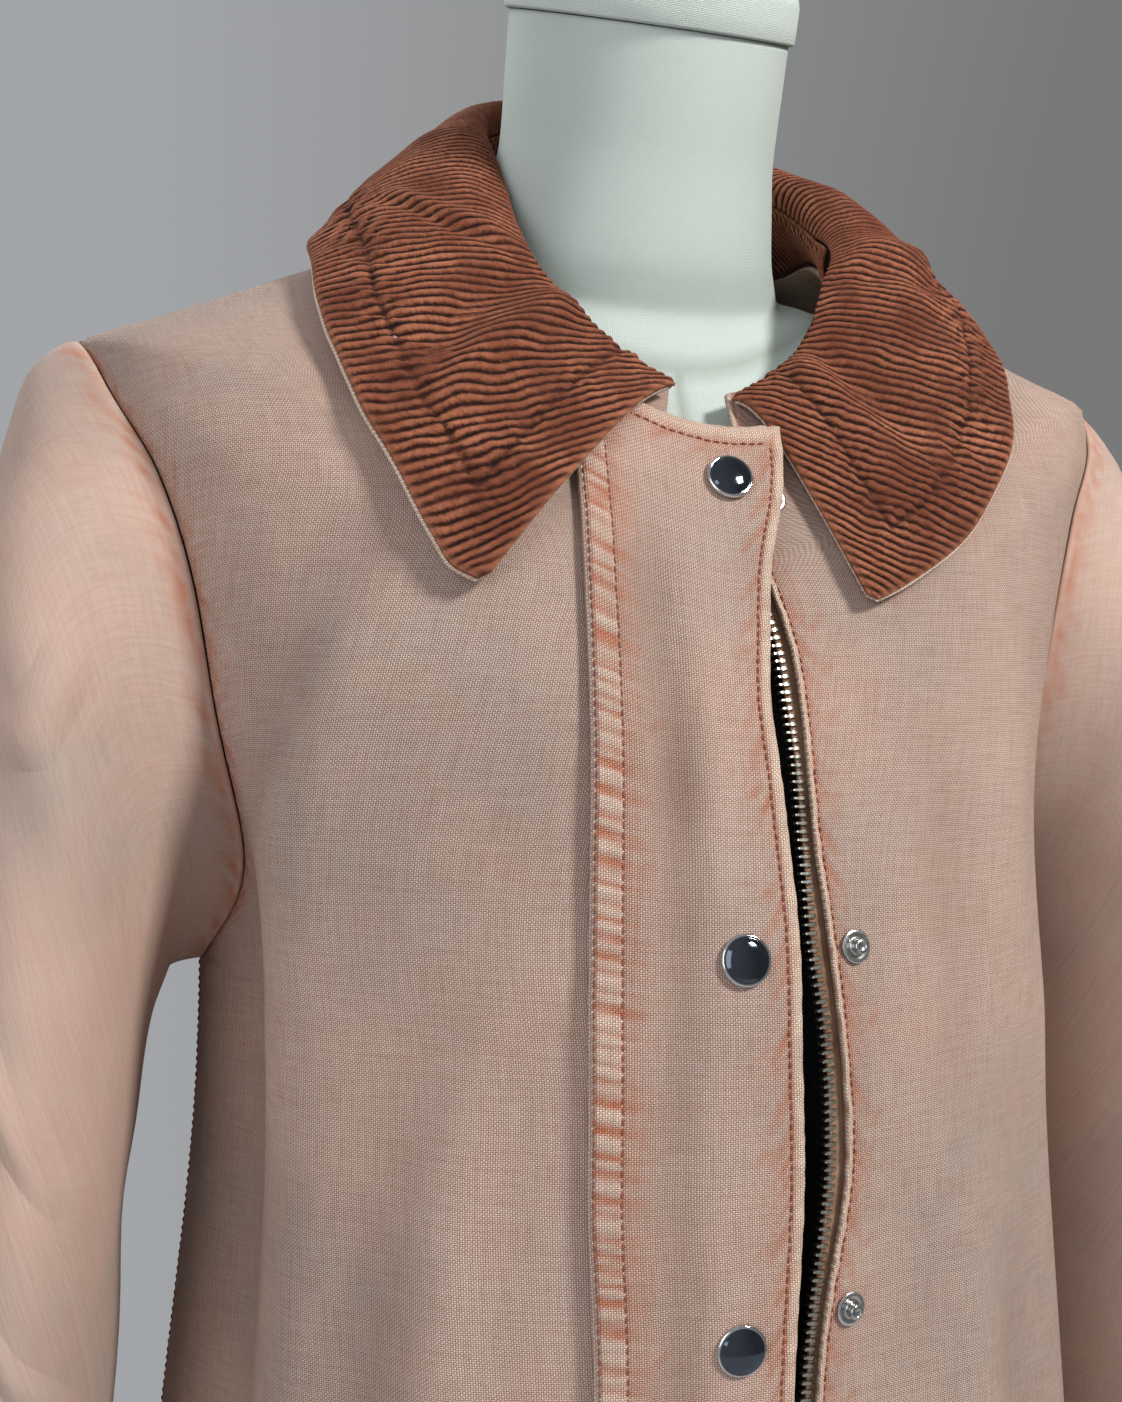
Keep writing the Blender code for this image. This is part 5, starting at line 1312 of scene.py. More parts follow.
def flap_relief(side_z, across, width, up):
    """Relief and marks of the flap: its sewn strip, its edges' puckers and its soft folds."""
    first, last = FLAP_STRIP
    r = rope(up, across * 0.15, 1.3, 6.2 * MM)
    strip = between(across, (first - 0.6 * MM, first + 0.8 * MM), (last - 0.7 * MM, last + 0.5 * MM))
    relief = 0.55 * MM * strip + 0.38 * MM * r * strip
    for line in (first, last):
        relief -= 0.40 * MM * bell(across - line, 0.55 * MM)
    rust = strip * np.clip(0.40 - 1.0 * r, 0, 1)
    pale = strip * np.clip(0.30 + 0.9 * r, 0, 1) * 0.7
    beyond = (across > last) * (1 - smooth_step(across, last + 1 * MM, last + 11 * MM))
    rust = np.maximum(rust, beyond * np.clip(0.52 - 0.35 * r, 0, 1) * 0.85)

    inward = width - across
    pucker, dye = stitched_edge(up, inward, *FLAP_EDGE)
    relief += pucker
    rust = np.maximum(rust, dye)
    rust = np.maximum(rust, 0.75 * bell(inward - FLAP_STITCH_EDGE, 1.0 * MM))
    pale = np.maximum(pale, 0.9 * (1 - smooth_step(inward, 2.4 * MM, 3.8 * MM)))

    top = (FLAP_TOP_RIDGE - (FLAP_TOP_RIDGE - FLAP_TOP_EDGE) * across / width - side_z) * FLAP_TOP_TILT
    pucker, dye = stitched_edge(across, top, *FLAP_TOP)
    relief += pucker
    rust = np.maximum(rust, dye)
    rust = np.maximum(rust, 0.7 * bell(top - FLAP_STITCH_TOP, 1.0 * MM))
    pale = np.maximum(pale, 0.9 * (1 - smooth_step(top, 2.6 * MM, 4.2 * MM)))

    shade = np.zeros(rust.shape)
    for z0, z1, x0, x1, high, broad in FLAP_FOLDS:
        t = (z0 - side_z) / (z0 - z1)
        centre = (x0 + (x1 - x0) * t) * MM + 1.5 * MM * np.sin(5 * t + z0 * 30)
        fade = between(t, (-0.1, 0.3), (0.7, 1.1))
        relief += high * MM * fade * bell(across - centre, broad * MM)
        shade += max(-high, 0) * 0.32 * fade * bell(across - centre, 1.3 * broad * MM)
    pale = np.clip(pale, 0, 1) * (0.75 + 0.25 * rope(up, 0, 6.0, 14 * MM))
    blot = rope(up, across * 0.6, 8.0, 23 * MM) * rope(up, -across, 2.5, 11 * MM)
    beside = bell(inward - 9 * MM, 6 * MM) + bell(across - 14 * MM, 7 * MM)
    rust = np.maximum(rust, np.clip(blot * 0.9 - 0.15, 0, 0.6) * beside)
    return relief, np.clip(rust * (1 - 0.7 * pale), 0, 1), np.clip(pale, 0, 1), np.clip(shade, 0, 1)


def flap_slope(side_z):
    """How far a row at this height drops from the ridge to the free edge."""
    tilt = np.clip((side_z - FLAP_SLOPE_Z) / (FLAP_TOP_RIDGE - FLAP_SLOPE_Z), 0, 1)
    return (FLAP_TOP_RIDGE - FLAP_TOP_EDGE) * tilt


def flap_line(side_z, across, heights, ups):
    """A stitch line on the flap: its points and normals."""
    width = flap_width(side_z)
    up = np.interp(side_z, heights, ups)
    side_z = side_z - flap_slope(side_z) * across / width
    base = flap_point(side_z, across, 0 * across)
    normal = flap_point(side_z, across, 1.0 + 0 * across) - base
    height = flap_relief(side_z, across, width, up)[0]
    return base + normal * (height + FLAP_THREAD_LIFT)[:, None], normal


def build_flap(surface, thread):
    heights = np.linspace(HEM_Z + 1.5 * MM, FLAP_TOP_RIDGE, FLAP_ROWS)
    width = flap_width(heights)[:, None]
    foot = float(width[0, 0])
    share = denser(FLAP_COLS, (0.0, *FLAP_STRIP, foot, foot - FLAP_STITCH_EDGE), foot, 1.3 * MM, 7.0)
    across = width * share
    side_z = heights[:, None] - flap_slope(heights)[:, None] * share
    # the top front corner is a little round
    corner = 3.0 * MM
    to_top = (FLAP_TOP_RIDGE - heights)[:, None] * FLAP_TOP_TILT
    in_corner = np.clip(corner - to_top, 0, corner)
    cut_back = corner - np.sqrt(np.maximum(corner**2 - in_corner**2, 0))
    across = across - cut_back * smooth_step(across, width - 8 * MM, width)
    middle = arc(flap_point(side_z, across), 0)[:, FLAP_COLS // 2 - 1]
    up = np.broadcast_to(middle[:, None], across.shape)
    relief, rust, pale, shade = flap_relief(side_z, across, width, up)
    # rounded edges: the outer face turns down toward each edge
    for distance in (across, width - across, to_top):
        relief = relief - 0.9 * MM * bell(distance, 0.6 * MM)
    outer = flap_point(side_z, across, relief)
    rows = every(5, FLAP_ROWS)
    inner = flap_point(side_z[rows], across[rows], -FLAP_WALL)
    mesh = shell("storm_flap_cloth", outer, inner, rows, np.stack([across, up], -1),
                 {"rust": rust, "pale": pale, "shade": shade})
    add_piece("storm_flap_cloth", mesh, surface, nodes=("storm_flap",))

    stitch_top = FLAP_TOP_RIDGE - FLAP_STITCH_TOP / FLAP_TOP_TILT
    full = np.linspace(HEM_Z + 4 * MM, FLAP_TOP_RIDGE - 1 * MM, 900)
    down = np.linspace(HEM_Z + 4 * MM, stitch_top, 900)
    xs = np.linspace(1.0 * MM, float(flap_width(full)[-1]) - FLAP_STITCH_EDGE, 120)
    lines = [(full, x + 0 * full) for x in FLAP_STRIP]
    lines += [(down, flap_width(down) - FLAP_STITCH_EDGE), (stitch_top + 0 * xs, xs)]
    runs = [stitch_run(*flap_line(*line, heights, up[:, 0])) for line in lines]
    build_stitches("storm_flap_stitches", runs, thread)


# ---------------------------------------------------------------- sleeves

SLEEVE_COLS = 120
SLEEVE_HEAD_END = 0.6      # the station where the rows get wider apart
SLEEVE_HEAD_ROWS = 14
SLEEVE_LOW_ROWS = 176
SLEEVE_RADIUS = 0.08       # turns angles into lengths round a sleeve
SLEEVE_FOLD_GAIN = 1.5
# Folds of a hanging sleeve: from (station, turn) to (station, turn), height in mm, width.
SLEEVE_FOLDS = [
    (1.2, 60, 3.0, 20, 2.6, 0.16),
    (1.6, 85, 3.4, 60, -2.8, 0.15),
    (2.6, 110, 4.2, 85, 2.2, 0.15),
    (4.2, 40, 5.2, 110, -3.0, 0.17),
    (4.9, 30, 5.9, 95, 2.6, 0.16),
    (5.6, 60, 6.3, 140, -3.0, 0.15),
    (6.3, 20, 7.0, 90, 2.2, 0.15),
    (7.2, 60, 8.0, 130, -2.4, 0.16),
    (8.2, 30, 9.0, 80, 1.8, 0.18),
    (2.2, 200, 3.8, 240, 2.2, 0.20),
    (4.6, 230, 5.6, 290, -2.6, 0.18),
    (5.4, 220, 6.5, 300, 2.6, 0.17),
    (6.6, 200, 7.4, 270, -2.4, 0.17),
    (8.0, 210, 9.0, 250, 1.8, 0.20),
    (3.2, -20, 4.6, 10, -1.8, 0.20),
]


def build_sleeve(side, name, surface):
    """A hanging sleeve: a closed tube with folds, a puckered armhole and cuff, and a seam under it."""
    stations = np.concatenate([np.linspace(0, SLEEVE_HEAD_END, SLEEVE_HEAD_ROWS),
                               np.linspace(SLEEVE_HEAD_END, SLEEVE_ENDS, SLEEVE_LOW_ROWS)[1:]])
    station, turn = np.meshgrid(stations, turns_of(SLEEVE_COLS, 180), indexing="ij")
    base = sleeve_point(side, station, turn)
    inward = sleeve_wall(side, station, turn, 1.0) - base
    up = arc(base, 0)
    around = arc(base, 1)
    full = around[:, -1:] * SLEEVE_COLS / (SLEEVE_COLS - 1) + 0 * around
    relief = np.zeros(station.shape)
    for s0, a0, s1, a1, high, width in SLEEVE_FOLDS:
        x, y = angle_of(turn - a0) / 60.0, station - s0
        dx, dy = (a1 - a0) / 60.0, s1 - s0
        length = math.hypot(dx, dy)
        t = (x * dx + y * dy) / length**2
        off = (x * dy - y * dx) / length + 0.08 * np.sin(6 * t + s0)
        fade = between(t, (-0.2, 0.3), (0.7, 1.2))
        relief += SLEEVE_FOLD_GAIN * high * MM * fade * bell(off, width)
    r = rope(around, up, 2.0 + side, 8 * MM)
    near = 1 - smooth_step(up, 3 * MM, 11 * MM)
    relief += 0.35 * MM * r * near * smooth_step(up, 0, 1.5 * MM)
    rust = near * np.clip(0.4 - 0.5 * r, 0, 1)
    to_cuff = up[-1:] - up
    pucker, dye = stitched_edge(around, to_cuff, *CUFF_EDGE)
    relief += pucker
    rust = np.maximum(rust, dye)
    pale = 0.85 * bell(to_cuff, 1.4 * MM) + 0.3 * bell(up, 1.4 * MM)
    under = abs(angle_of(turn + 180)) * np.pi / 180 * SLEEVE_RADIUS
    rust = np.maximum(rust, 0.6 * bell(under, 2.0 * MM))
    relief -= 0.5 * MM * bell(under, 1.2 * MM)
    outer = base - inward * relief[..., None]
    rows = every(4, len(stations))
    inner = base[rows] + inward[rows] * CANVAS
    mesh = shell(name + "_cloth", outer, inner, rows, np.stack([around, up], -1),
                 {"rust": rust, "pale": pale, "shade": 0 * rust}, around=full)
    return add_piece(name + "_cloth", mesh, surface, nodes=(name,))


# ---------------------------------------------------------------- the collar

# Folds in the collar's leaves: points (X along the roll in mm, share of the fall), height, width in mm.
COLLAR_FOLDS = [
    ("right_pleat", [(-191, 0.08), (-180, 0.29), (-165, 0.47), (-157, 0.62)], -1.3, 3.6),
    ("right_pleat_lip", [(-183, 0.06), (-172, 0.29), (-157, 0.47), (-149, 0.62)], 1.6, 6.0),
    ("right_ridge", [(-212, 0.0), (-225, 0.27), (-233, 0.47), (-244, 0.64), (-252, 0.80)], 4.6, 6.5),
    ("right_valley", [(-199, 0.05), (-212, 0.33), (-221, 0.50), (-232, 0.70)], -2.2, 6.0),
    ("right_tip_lift", [(-284, 0.30), (-290, 0.60), (-292, 0.95)], 1.6, 6.0),
    ("left_fold", [(232, 0.05), (246, 0.30), (258, 0.62)], -2.0, 5.0),
    ("left_ridge", [(242, 0.02), (256, 0.30), (270, 0.66)], 3.0, 6.5),
    ("left_shoulder_ridge", [(180, 0.05), (172, 0.4), (160, 0.7)], 2.4, 8.0),
    ("left_shoulder_fold", [(196, 0.05), (190, 0.4), (182, 0.7)], -1.8, 6.0),
    ("back_soft", [(-40, 0.15), (-46, 0.5), (-40, 0.85)], 2.0, 9.0),
    ("back_soft_left", [(52, 0.15), (58, 0.5), (50, 0.85)], -1.6, 9.0),
]
WALE_SWAY = 0.75 * MM
GROOVE_INSET = 18 * MM     # the row of stitches inside the collar's edges
WALE_SAMPLES = 8
COLLAR_CUT = 0.085         # the cut heights of the collar and its stand, for the threads
STAND_CUT = 0.06
STAND_ROWS = 34


def nearest_lengths(points, line):
    """Each point's distance to a line, and how far along the line the nearest place is."""
    fine = np.linspace(0, len(line) - 1, 1600)
    dense = read_line(fine, np.arange(len(line)), line)
    along = line_lengths(dense)
    tree = point_tree(dense)
    found = [tree.find(p) for p in points.reshape(-1, 3)]
    distance = np.array([f[2] for f in found]).reshape(points.shape[:-1])
    length = along[[f[1] for f in found]].reshape(points.shape[:-1])
    return distance, length


def fold_relief(x, share):
    """Height of the collar's folds at a place along the roll and a share of the fall."""
    total = np.zeros(x.shape)
    for _, path, high, width in COLLAR_FOLDS:
        xs = np.array([p[0] for p in path]) * MM
        shares = np.array([p[1] for p in path])
        centre = np.interp(share, shares, xs)
        span = shares[-1] - shares[0]
        fade = between(share, (shares[0] - 0.10, shares[0] + 0.15 * span),
                       (shares[-1] - 0.35 * span, shares[-1] + 0.05))
        total += high * MM * fade * bell(x - centre, width * MM)
    return total


def build_collar(collar, corduroy, canvas):
    right, left = collar.edge_x[0] + 2 * MM, collar.edge_x[-1] - 2 * MM
    wales = int((left - right) / WALE_PITCH)
    cols = wales * WALE_SAMPLES + 1
    xs = np.linspace(right, left, cols)
    rows = np.concatenate([np.linspace(0, 0.25, 14), np.linspace(0.25, 0.9, 29)[1:],
                           np.linspace(0.9, 1, 13)[1:]])
    lines = [collar.wale_line(x, rows) for x in xs]
    station = np.array([line[0] for line in lines]).T
    across = np.array([line[1] for line in lines]).T
    x = np.broadcast_to(xs[None, :], station.shape)
    plain = collar.point(station, across)
    edge_line = collar.point(collar.stations, 1.0 + 0 * collar.stations)
    shares = np.linspace(0, 1, 60)
    d_edge, along_edge = nearest_lengths(plain, edge_line)
    d_right, along_right = nearest_lengths(plain, collar.point(0 * shares, shares))
    d_left, along_left = nearest_lengths(plain, collar.point(0 * shares + COLLAR_STATIONS, shares))
    d_front = np.minimum(d_right, d_left)
    inset = np.minimum(d_edge, d_front)
    along = np.where(d_edge <= d_front, along_edge, np.where(d_right < d_left, along_right, along_left))
    sway = WALE_SWAY * (patchy(plain, 0.016, 7.0) + 0.6 * patchy(plain, 0.007, 12.0))
    profile = np.abs(np.sin(np.pi * (x - right + sway) / WALE_PITCH))**0.75
    fullness = 1 - 0.35 * bell(inset - GROOVE_INSET, 1.2 * MM) - 0.5 * bell(inset, 1.6 * MM)
    wale = WALE_RISE * 1.6 * (profile - 0.35) * fullness
    pucker = rope(along, inset * 0.6, 2.0, 7 * MM)
    beside = bell(inset - GROOVE_INSET, 8 * MM)
    folds = fold_relief(x, across)
    relief = wale + folds
    relief += -0.85 * MM * bell(inset - GROOVE_INSET, 1.2 * MM) + 0.75 * MM * pucker * beside
    relief += 0.75 * MM * patchy(plain, 0.022, 9.0) * smooth_step(across, 0.0, 0.15)
    relief += 0.25 * MM * patchy(plain, 0.012, 3.0)
    relief -= 0.8 * MM * bell(inset, 0.9 * MM)
    outer = collar.point(station, across, relief)
    inner_rows = every(12, len(rows))
    lower = np.maximum(folds[inner_rows] * 0.9, -1.1 * MM)
    inner = collar.point(station[inner_rows], across[inner_rows], lower - COLLAR_WALL)
    # the ridge mark is lowered along the stitched groove: painted shade there
    ridge = profile * (1 - 0.4 * bell(inset - GROOVE_INSET, 0.8 * MM))
    pale = 0.35 * bell(inset, 1.2 * MM)
    mesh = shell("collar_cloth", outer, inner, inner_rows, np.stack([x, across * COLLAR_CUT], -1),
                 {"ridge": ridge, "pale": pale})
    add_piece("collar_cloth", mesh, corduroy, nodes=("collar",))

    # the under collar shows as a thin pale line along the edge
    under_rows = every(2, len(rows))
    pick = np.ix_(under_rows, np.arange(0, cols, 6))
    bend = np.maximum(fold_relief(x[pick], across[pick]) * 0.9, -1.1 * MM)
    share = across[pick].copy()
    share[-1] = 1.0
    top = collar.point(station[pick], share, bend - COLLAR_WALL - GAP)
    low = collar.point(station[pick], share, bend - COLLAR_WALL - GAP - UNDER_COLLAR_WALL)
    out_edge = unit(top[-1] - top[-2])
    for layer in (top, low):
        layer[-1] += out_edge * 0.8 * MM
    near = inset[pick]
    marks = {"rust": 0.25 * bell(near, 6 * MM), "pale": 0.85 * bell(near, 2.5 * MM), "shade": 0 * near}
    mesh = shell("under_collar_cloth", top, low, np.arange(len(under_rows)),
                 np.stack([x[pick], share * COLLAR_CUT], -1), marks)
    add_piece("under_collar_cloth", mesh, canvas, nodes=("under_collar",))


def build_stand(collar, corduroy):
    """The stand inside the roll, its wales running up it."""
    x_ends = np.interp([STAND_END, COLLAR_STATIONS - STAND_END], collar.stations, collar.roll_x)
    cols = int((x_ends[1] - x_ends[0]) / WALE_PITCH * 6)
    xs = np.linspace(x_ends[0], x_ends[1], cols)
    station = np.interp(xs, collar.roll_x, collar.stations)
    tuck = np.array([collar.tuck(value) for value in xs])
    height = np.interp(station, collar.stations, collar.stand)
    share = np.linspace(0, 1, STAND_ROWS)[:, None]
    bottom, top = -1 + 0.4 * MM / height, -tuck - 1.0 * MM / height
    across = bottom + (top - bottom) * share
    grid = np.broadcast_to(station[None, :], across.shape)
    profile = np.abs(np.sin(np.pi * (xs - xs[0]) / WALE_PITCH))[None, :]**0.75 + 0 * across
    plain = collar.point(grid, across)
    to_top = (top - across) * height
    along = xs[None, :] + 0 * across
    pucker = rope(along, to_top, 1.0, 6 * MM)
    relief = WALE_RISE * (profile - 0.5) + 0.3 * MM * patchy(plain, 0.025, 4.0)
    relief += 0.4 * MM * pucker * bell(to_top, 6 * MM) - 0.5 * MM * bell(to_top - 2.5 * MM, 1.0 * MM)
    # the collar's outer face is the stand's face toward the neck
    outer = collar.point(grid, across, relief)
    rows = every(3, STAND_ROWS)
    inner = collar.point(grid[rows], across[rows], -COLLAR_WALL)
    mesh = shell("collar_stand_cloth", outer, inner, rows, np.stack([along, across * STAND_CUT], -1),
                 {"ridge": profile, "pale": 0.25 * bell(to_top, 1.5 * MM)})
    add_piece("collar_stand_cloth", mesh, corduroy, nodes=("collar_stand",))


# ---------------------------------------------------------------- zip

TOOTH_PITCH = 2.5 * MM
ZIP_ROWS = 260
TAPE_HIDDEN = 6 * MM       # the tape's width under the front
# A tooth's rings from its clamped end to its nose: (place across, half height, half depth) in mm.
TOOTH_RINGS = [(-2.0, 0.62, 1.20), (-1.7, 0.80, 1.35), (0.3, 0.80, 1.35), (0.7, 0.55, 1.10),
               (1.7, 0.50, 1.05), (2.0, 0.30, 0.80)]
TOOTH_CORNERS = [(-1, -0.7), (-0.6, -1), (0.6, -1), (1, -0.7), (1, 0.7), (0.6, 1), (-0.6, 1), (-1, 0.7)]


def build_zip_half(name, edge_x, teeth_x, set_back, tape, metal):
    """One tape and its teeth, down the line that teeth_x gives."""
    heights = np.linspace(ZIP_FOOT_Z - 8 * MM, ZIP_TOP_Z, ZIP_ROWS)
    edge, teeth = edge_x(heights) * MM, teeth_x(heights) * MM
    outward = float(np.sign(teeth[0] - edge[0]))
    shares = np.linspace(0, 1, 12)
    reach = teeth - edge + outward * TAPE_HIDDEN
    x = (edge - outward * TAPE_HIDDEN)[:, None] + (reach - outward * 0.2 * MM)[:, None] * shares
    side_z = np.broadcast_to(heights[:, None], x.shape).copy()
    angle = angle_at_x(side_z, x, set_back)
    ripple = 0.15 * MM * np.sin(heights * 2 * np.pi / (9 * MM))[:, None] * shares
    outer = body_point(side_z, angle, ZIP_DEPTH + 0.4 * MM + ripple, set_back)
    rows = every(3, ZIP_ROWS)
    inner = body_point(side_z[rows], angle[rows], ZIP_DEPTH - 0.4 * MM + ripple[rows], set_back)
    mesh = shell(f"zip_tape_{name}_cloth", outer, inner, rows, np.stack([x, side_z], -1), {})
    strip = add_piece(f"zip_tape_{name}_cloth", mesh, tape, nodes=(f"zip_tape_{name}",))
    length = float(arc(outer, 0)[-1, -1])

    # every tooth is a small closed piece of its own
    fine = np.linspace(ZIP_FOOT_Z + 0.5 * MM, ZIP_TOP_Z - 1 * MM, 1500)
    angle = angle_at_x(fine, teeth_x(fine) * MM, set_back)
    line = body_point(fine, angle, ZIP_DEPTH, set_back)
    out = body_point(fine, angle, ZIP_DEPTH + 1, set_back) - line
    length = line_lengths(line)
    count = int(length[-1] / TOOTH_PITCH)
    at = (np.arange(count) + 0.5) * TOOTH_PITCH
    centre, normal = read_line(at, length, line), read_line(at, length, out)
    up = unit(read_line(at + 0.5 * MM, length, line) - centre)
    side = np.cross(up, normal) * -outward
    side *= np.where((side @ np.array([outward, 0, 0]))[:, None] < 0, -1, 1)
    points = [centre + side * across * MM + up * cu * half_up * MM + normal * cd * half_deep * MM
              for across, half_up, half_deep in TOOTH_RINGS for cu, cd in TOOTH_CORNERS]
    mesh = make_mesh(f"zip_teeth_{name}_metal", np.stack(points, 1).reshape(-1, 3),
                     repeated_rings(count, len(TOOTH_RINGS), len(TOOTH_CORNERS)))
    bm = bmesh.new()
    bm.from_mesh(mesh)
    bmesh.ops.recalc_face_normals(bm, faces=bm.faces)
    bm.to_mesh(mesh)
    bm.free()
    mesh.set_sharp_from_angle(angle=math.radians(35))
    add_piece(f"zip_teeth_{name}_metal", mesh, metal, nodes=(f"zip_teeth_{name}",))


# ---------------------------------------------------------------- snaps

# Profiles from the back to the face: (radius, height) in mm.
CAP_PROFILE = [
    (0, 0.5), (6.4, 0.5), (7.1, 0.7), (7.4, 1.15), (7.35, 1.6), (7.1, 1.95), (6.8, 2.08), (6.55, 2.02),
    (6.4, 1.98), (6.2, 2.05), (5.6, 2.42), (4.6, 2.80), (3.2, 3.12), (1.6, 3.28), (0, 3.33),
]
STUD_PROFILE = [
    (0, 0.6), (4.3, 0.6), (4.9, 0.85), (5.0, 1.2), (4.6, 1.5), (3.7, 1.45), (3.1, 1.2), (2.5, 1.25),
    (2.1, 1.7), (1.95, 2.5), (2.3, 3.2), (2.35, 3.6), (2.0, 4.0), (1.5, 4.05), (1.2, 3.7), (0, 3.6),
]


def turned_mesh(name, profile, segments, place):
    """A turned piece from (radius, height) points in mm, the first and last on its axis."""
    t = np.arange(segments) * 2 * np.pi / segments
    rings = [np.stack([r * MM * np.cos(t), r * MM * np.sin(t), 0 * t + h * MM], -1) for r, h in profile[1:-1]]
    points = np.concatenate(rings + [[(0, 0, profile[0][1] * MM)], [(0, 0, profile[-1][1] * MM)]])
    m = np.array(place)
    points = points @ m[:3, :3].T + m[:3, 3]
    faces = list(ring_faces(np.arange(len(rings) * segments).reshape(-1, segments)))
    foot, top, last = len(points) - 2, len(points) - 1, (len(rings) - 1) * segments
    for c in range(segments):
        d = (c + 1) % segments
        faces.append(np.array([foot, d, c]))
        faces.append(np.array([top, last + c, last + d]))
    # the rim mark: a painted highlight on the outer rim, read by the metal's colour
    reach = np.array([r for r, _ in profile[1:-1]])
    rim = np.repeat(smooth_step(reach, 0.86 * reach.max(), 0.93 * reach.max()), segments)
    mesh = make_mesh(name, points, faces, marks={"rim": np.append(rim, [0, 0])})
    mesh.set_sharp_from_angle(angle=math.radians(50))
    return mesh


def build_snaps(dark, bright):
    for i, height in enumerate(SNAP_TOP_Z - np.concatenate([[0], np.cumsum(SNAP_STEPS)]), 1):
        mesh = turned_mesh(f"snap_cap_{i}_metal", CAP_PROFILE, 64, snap_place(height))
        add_piece(f"snap_cap_{i}_metal", mesh, dark, nodes=(f"snap_cap_{i}",))
        mesh = turned_mesh(f"snap_stud_{i}_metal", STUD_PROFILE, 40, stud_place(height))
        add_piece(f"snap_stud_{i}_metal", mesh, bright, nodes=(f"snap_stud_{i}",))


# ---------------------------------------------------------------- the dress form

FORM_COLS = 144
FORM_LOW_ROWS = 60
FORM_SPLIT_Z = 1.34        # the rows are closer together above this
FORM_RADIUS = 0.055        # turns angles into lengths from the front seam
COVER_RADIUS = 0.06        # and into lengths of thread, for the cover and the cap
CAP_RADIUS = 0.05
# The cap's profile: (up its axis, out from the neck's end) in mm.
CAP_CURVE = [
    (0.3, -3.0), (0.3, 0.6), (0.5, 1.3), (1.3, 1.7), (6.0, 1.6), (12.0, 1.3), (14.5, 0.6), (16.6, -1.0),
    (18.0, -4.0), (19.2, -9.0), (20.2, -17.0), (20.8, -27.0), (21.0, -38.0),
]


def add_cover(name, points, up, angles, radius, marks, surface, node):
    """A closed round piece from rings of points, flat at both ends."""
    index = np.arange(up.size).reshape(up.shape)
    faces = list(ring_faces(index)) + [index[0][::-1], index[-1]]
    around = np.broadcast_to((angles[None, :] - 180) * np.pi / 180 * radius, up.shape)
    marks = {key: values.reshape(-1) for key, values in marks.items()}
    mesh = make_mesh(name, points.reshape(-1, 3), faces, np.stack([around, up], -1).reshape(-1, 2), marks,
                     np.full(up.size, 2 * np.pi * radius))
    add_piece(name, mesh, surface, nodes=(node,))


def build_form(cover):
    """The torso and neck in one smooth cover, with its seams pressed in, and the cap on the neck."""
    angles = turns_of(FORM_COLS, 180)
    zs = np.concatenate([np.linspace(FORM_BOTTOM_Z, FORM_SPLIT_Z, FORM_LOW_ROWS),
                         np.linspace(FORM_SPLIT_Z, FORM.key[-1], 26)[1:]])
    rings = [ring_point(FORM, z, angles) for z in zs]
    neck = np.array([row[1:] for row in FORM_NECK])
    for t in np.linspace(0, len(neck) - 1, 60):
        y, z, w, d, lean = [np.interp(t, np.arange(len(neck)), neck[:, c]) for c in range(5)]
        rings.append(leaning_ring(y, z, w, d, lean, angles))
    grid = np.array(rings)
    # the shoulders are smoothed into the neck, ring by ring
    a = FORM_LOW_ROWS
    for _ in range(14):
        grid[a:-8] = 0.25 * grid[a - 1:-9] + 0.5 * grid[a:-8] + 0.25 * grid[a + 1:-7]
    up = arc(grid, 0)
    normal = grid_normals(grid)
    centre = grid.mean(1, keepdims=True)
    normal *= np.where(((grid - centre) * normal).sum(-1, keepdims=True) < 0, -1, 1)
    to_front = abs(angle_of(angles))[None, :] * np.pi / 180 * FORM_RADIUS
    seam_up = up[len(zs)][None, :]
    to_seam = np.abs(up - seam_up)
    below = up < seam_up
    groove = bell(to_seam, 1.4 * MM) + bell(to_front, 1.1 * MM) * below
    welt = bell(to_seam - 3.2 * MM, 2.2 * MM)
    relief = -0.9 * MM * groove + 0.35 * MM * welt + 0.25 * MM * patchy(grid, 0.06, 5.0)
    shade = np.clip(0.95 * bell(to_seam, 0.9 * MM) + 0.95 * bell(to_front, 0.9 * MM) * below, 0, 1)
    # painted shade: near black on the torso inside the jacket, fading out up to FORM_PAINTED_SHADE_Z
    painted_gap_shade = 1 - smooth_step(grid[..., 2], FORM_PAINTED_SHADE_Z - FORM_PAINTED_SHADE_FADE, FORM_PAINTED_SHADE_Z)
    add_cover("dress_form_cover", grid + normal * relief[..., None], up, angles, COVER_RADIUS,
              {"shade": shade, "painted_gap_shade": painted_gap_shade}, cover, "dress_form")

    _, y, z, half_width, half_depth, lean = FORM_NECK[-1]
    tilt = math.radians(CAP_LEAN)
    angles = turns_of(96, 180)
    rings = np.array([leaning_ring(y - u * MM * math.sin(tilt), z + u * MM * math.cos(tilt),
                                   half_width + w * MM, half_depth + w * MM, lean, angles)
                      for u, w in CAP_CURVE])
    shade = np.zeros(rings.shape[:2])
    shade[:3] = 0.8
    add_cover("neck_cap_cover", rings, arc(rings, 0), angles, CAP_RADIUS, {"shade": shade},
              cover, "neck_cap")


# ---------------------------------------------------------------- stage

CAMERA_PLACE = (-0.172, -0.515, 1.25)
CAMERA_TURN = 17.0
CAMERA_FOCAL_PX = 1400.0
CAMERA_HEIGHT_PX = 1402.0
FLOOR_GREY = (0.50, 0.49, 0.50)
FLOOR_LIGHT = (0.56, 0.55, 0.56)
FLOOR_RADIUS = 1.9
WALL_LEFT = (0.365, 0.375, 0.39)
WALL_RIGHT = (0.19, 0.19, 0.19)
# name, place, target, size, power, colour
LIGHTS = [
    ("key", (1.05, -1.45, 2.45), (0.0, -0.1, 1.2), 0.42, 50.0, (1.0, 0.98, 0.95)),
    ("fill", (-1.5, -1.5, 1.6), (0.0, -0.1, 1.1), 1.6, 20.0, (0.95, 0.97, 1.0)),
    ("top", (-0.3, 0.9, 2.7), (0.0, 0.0, 1.3), 1.2, 16.0, (1.0, 0.99, 0.97)),
]


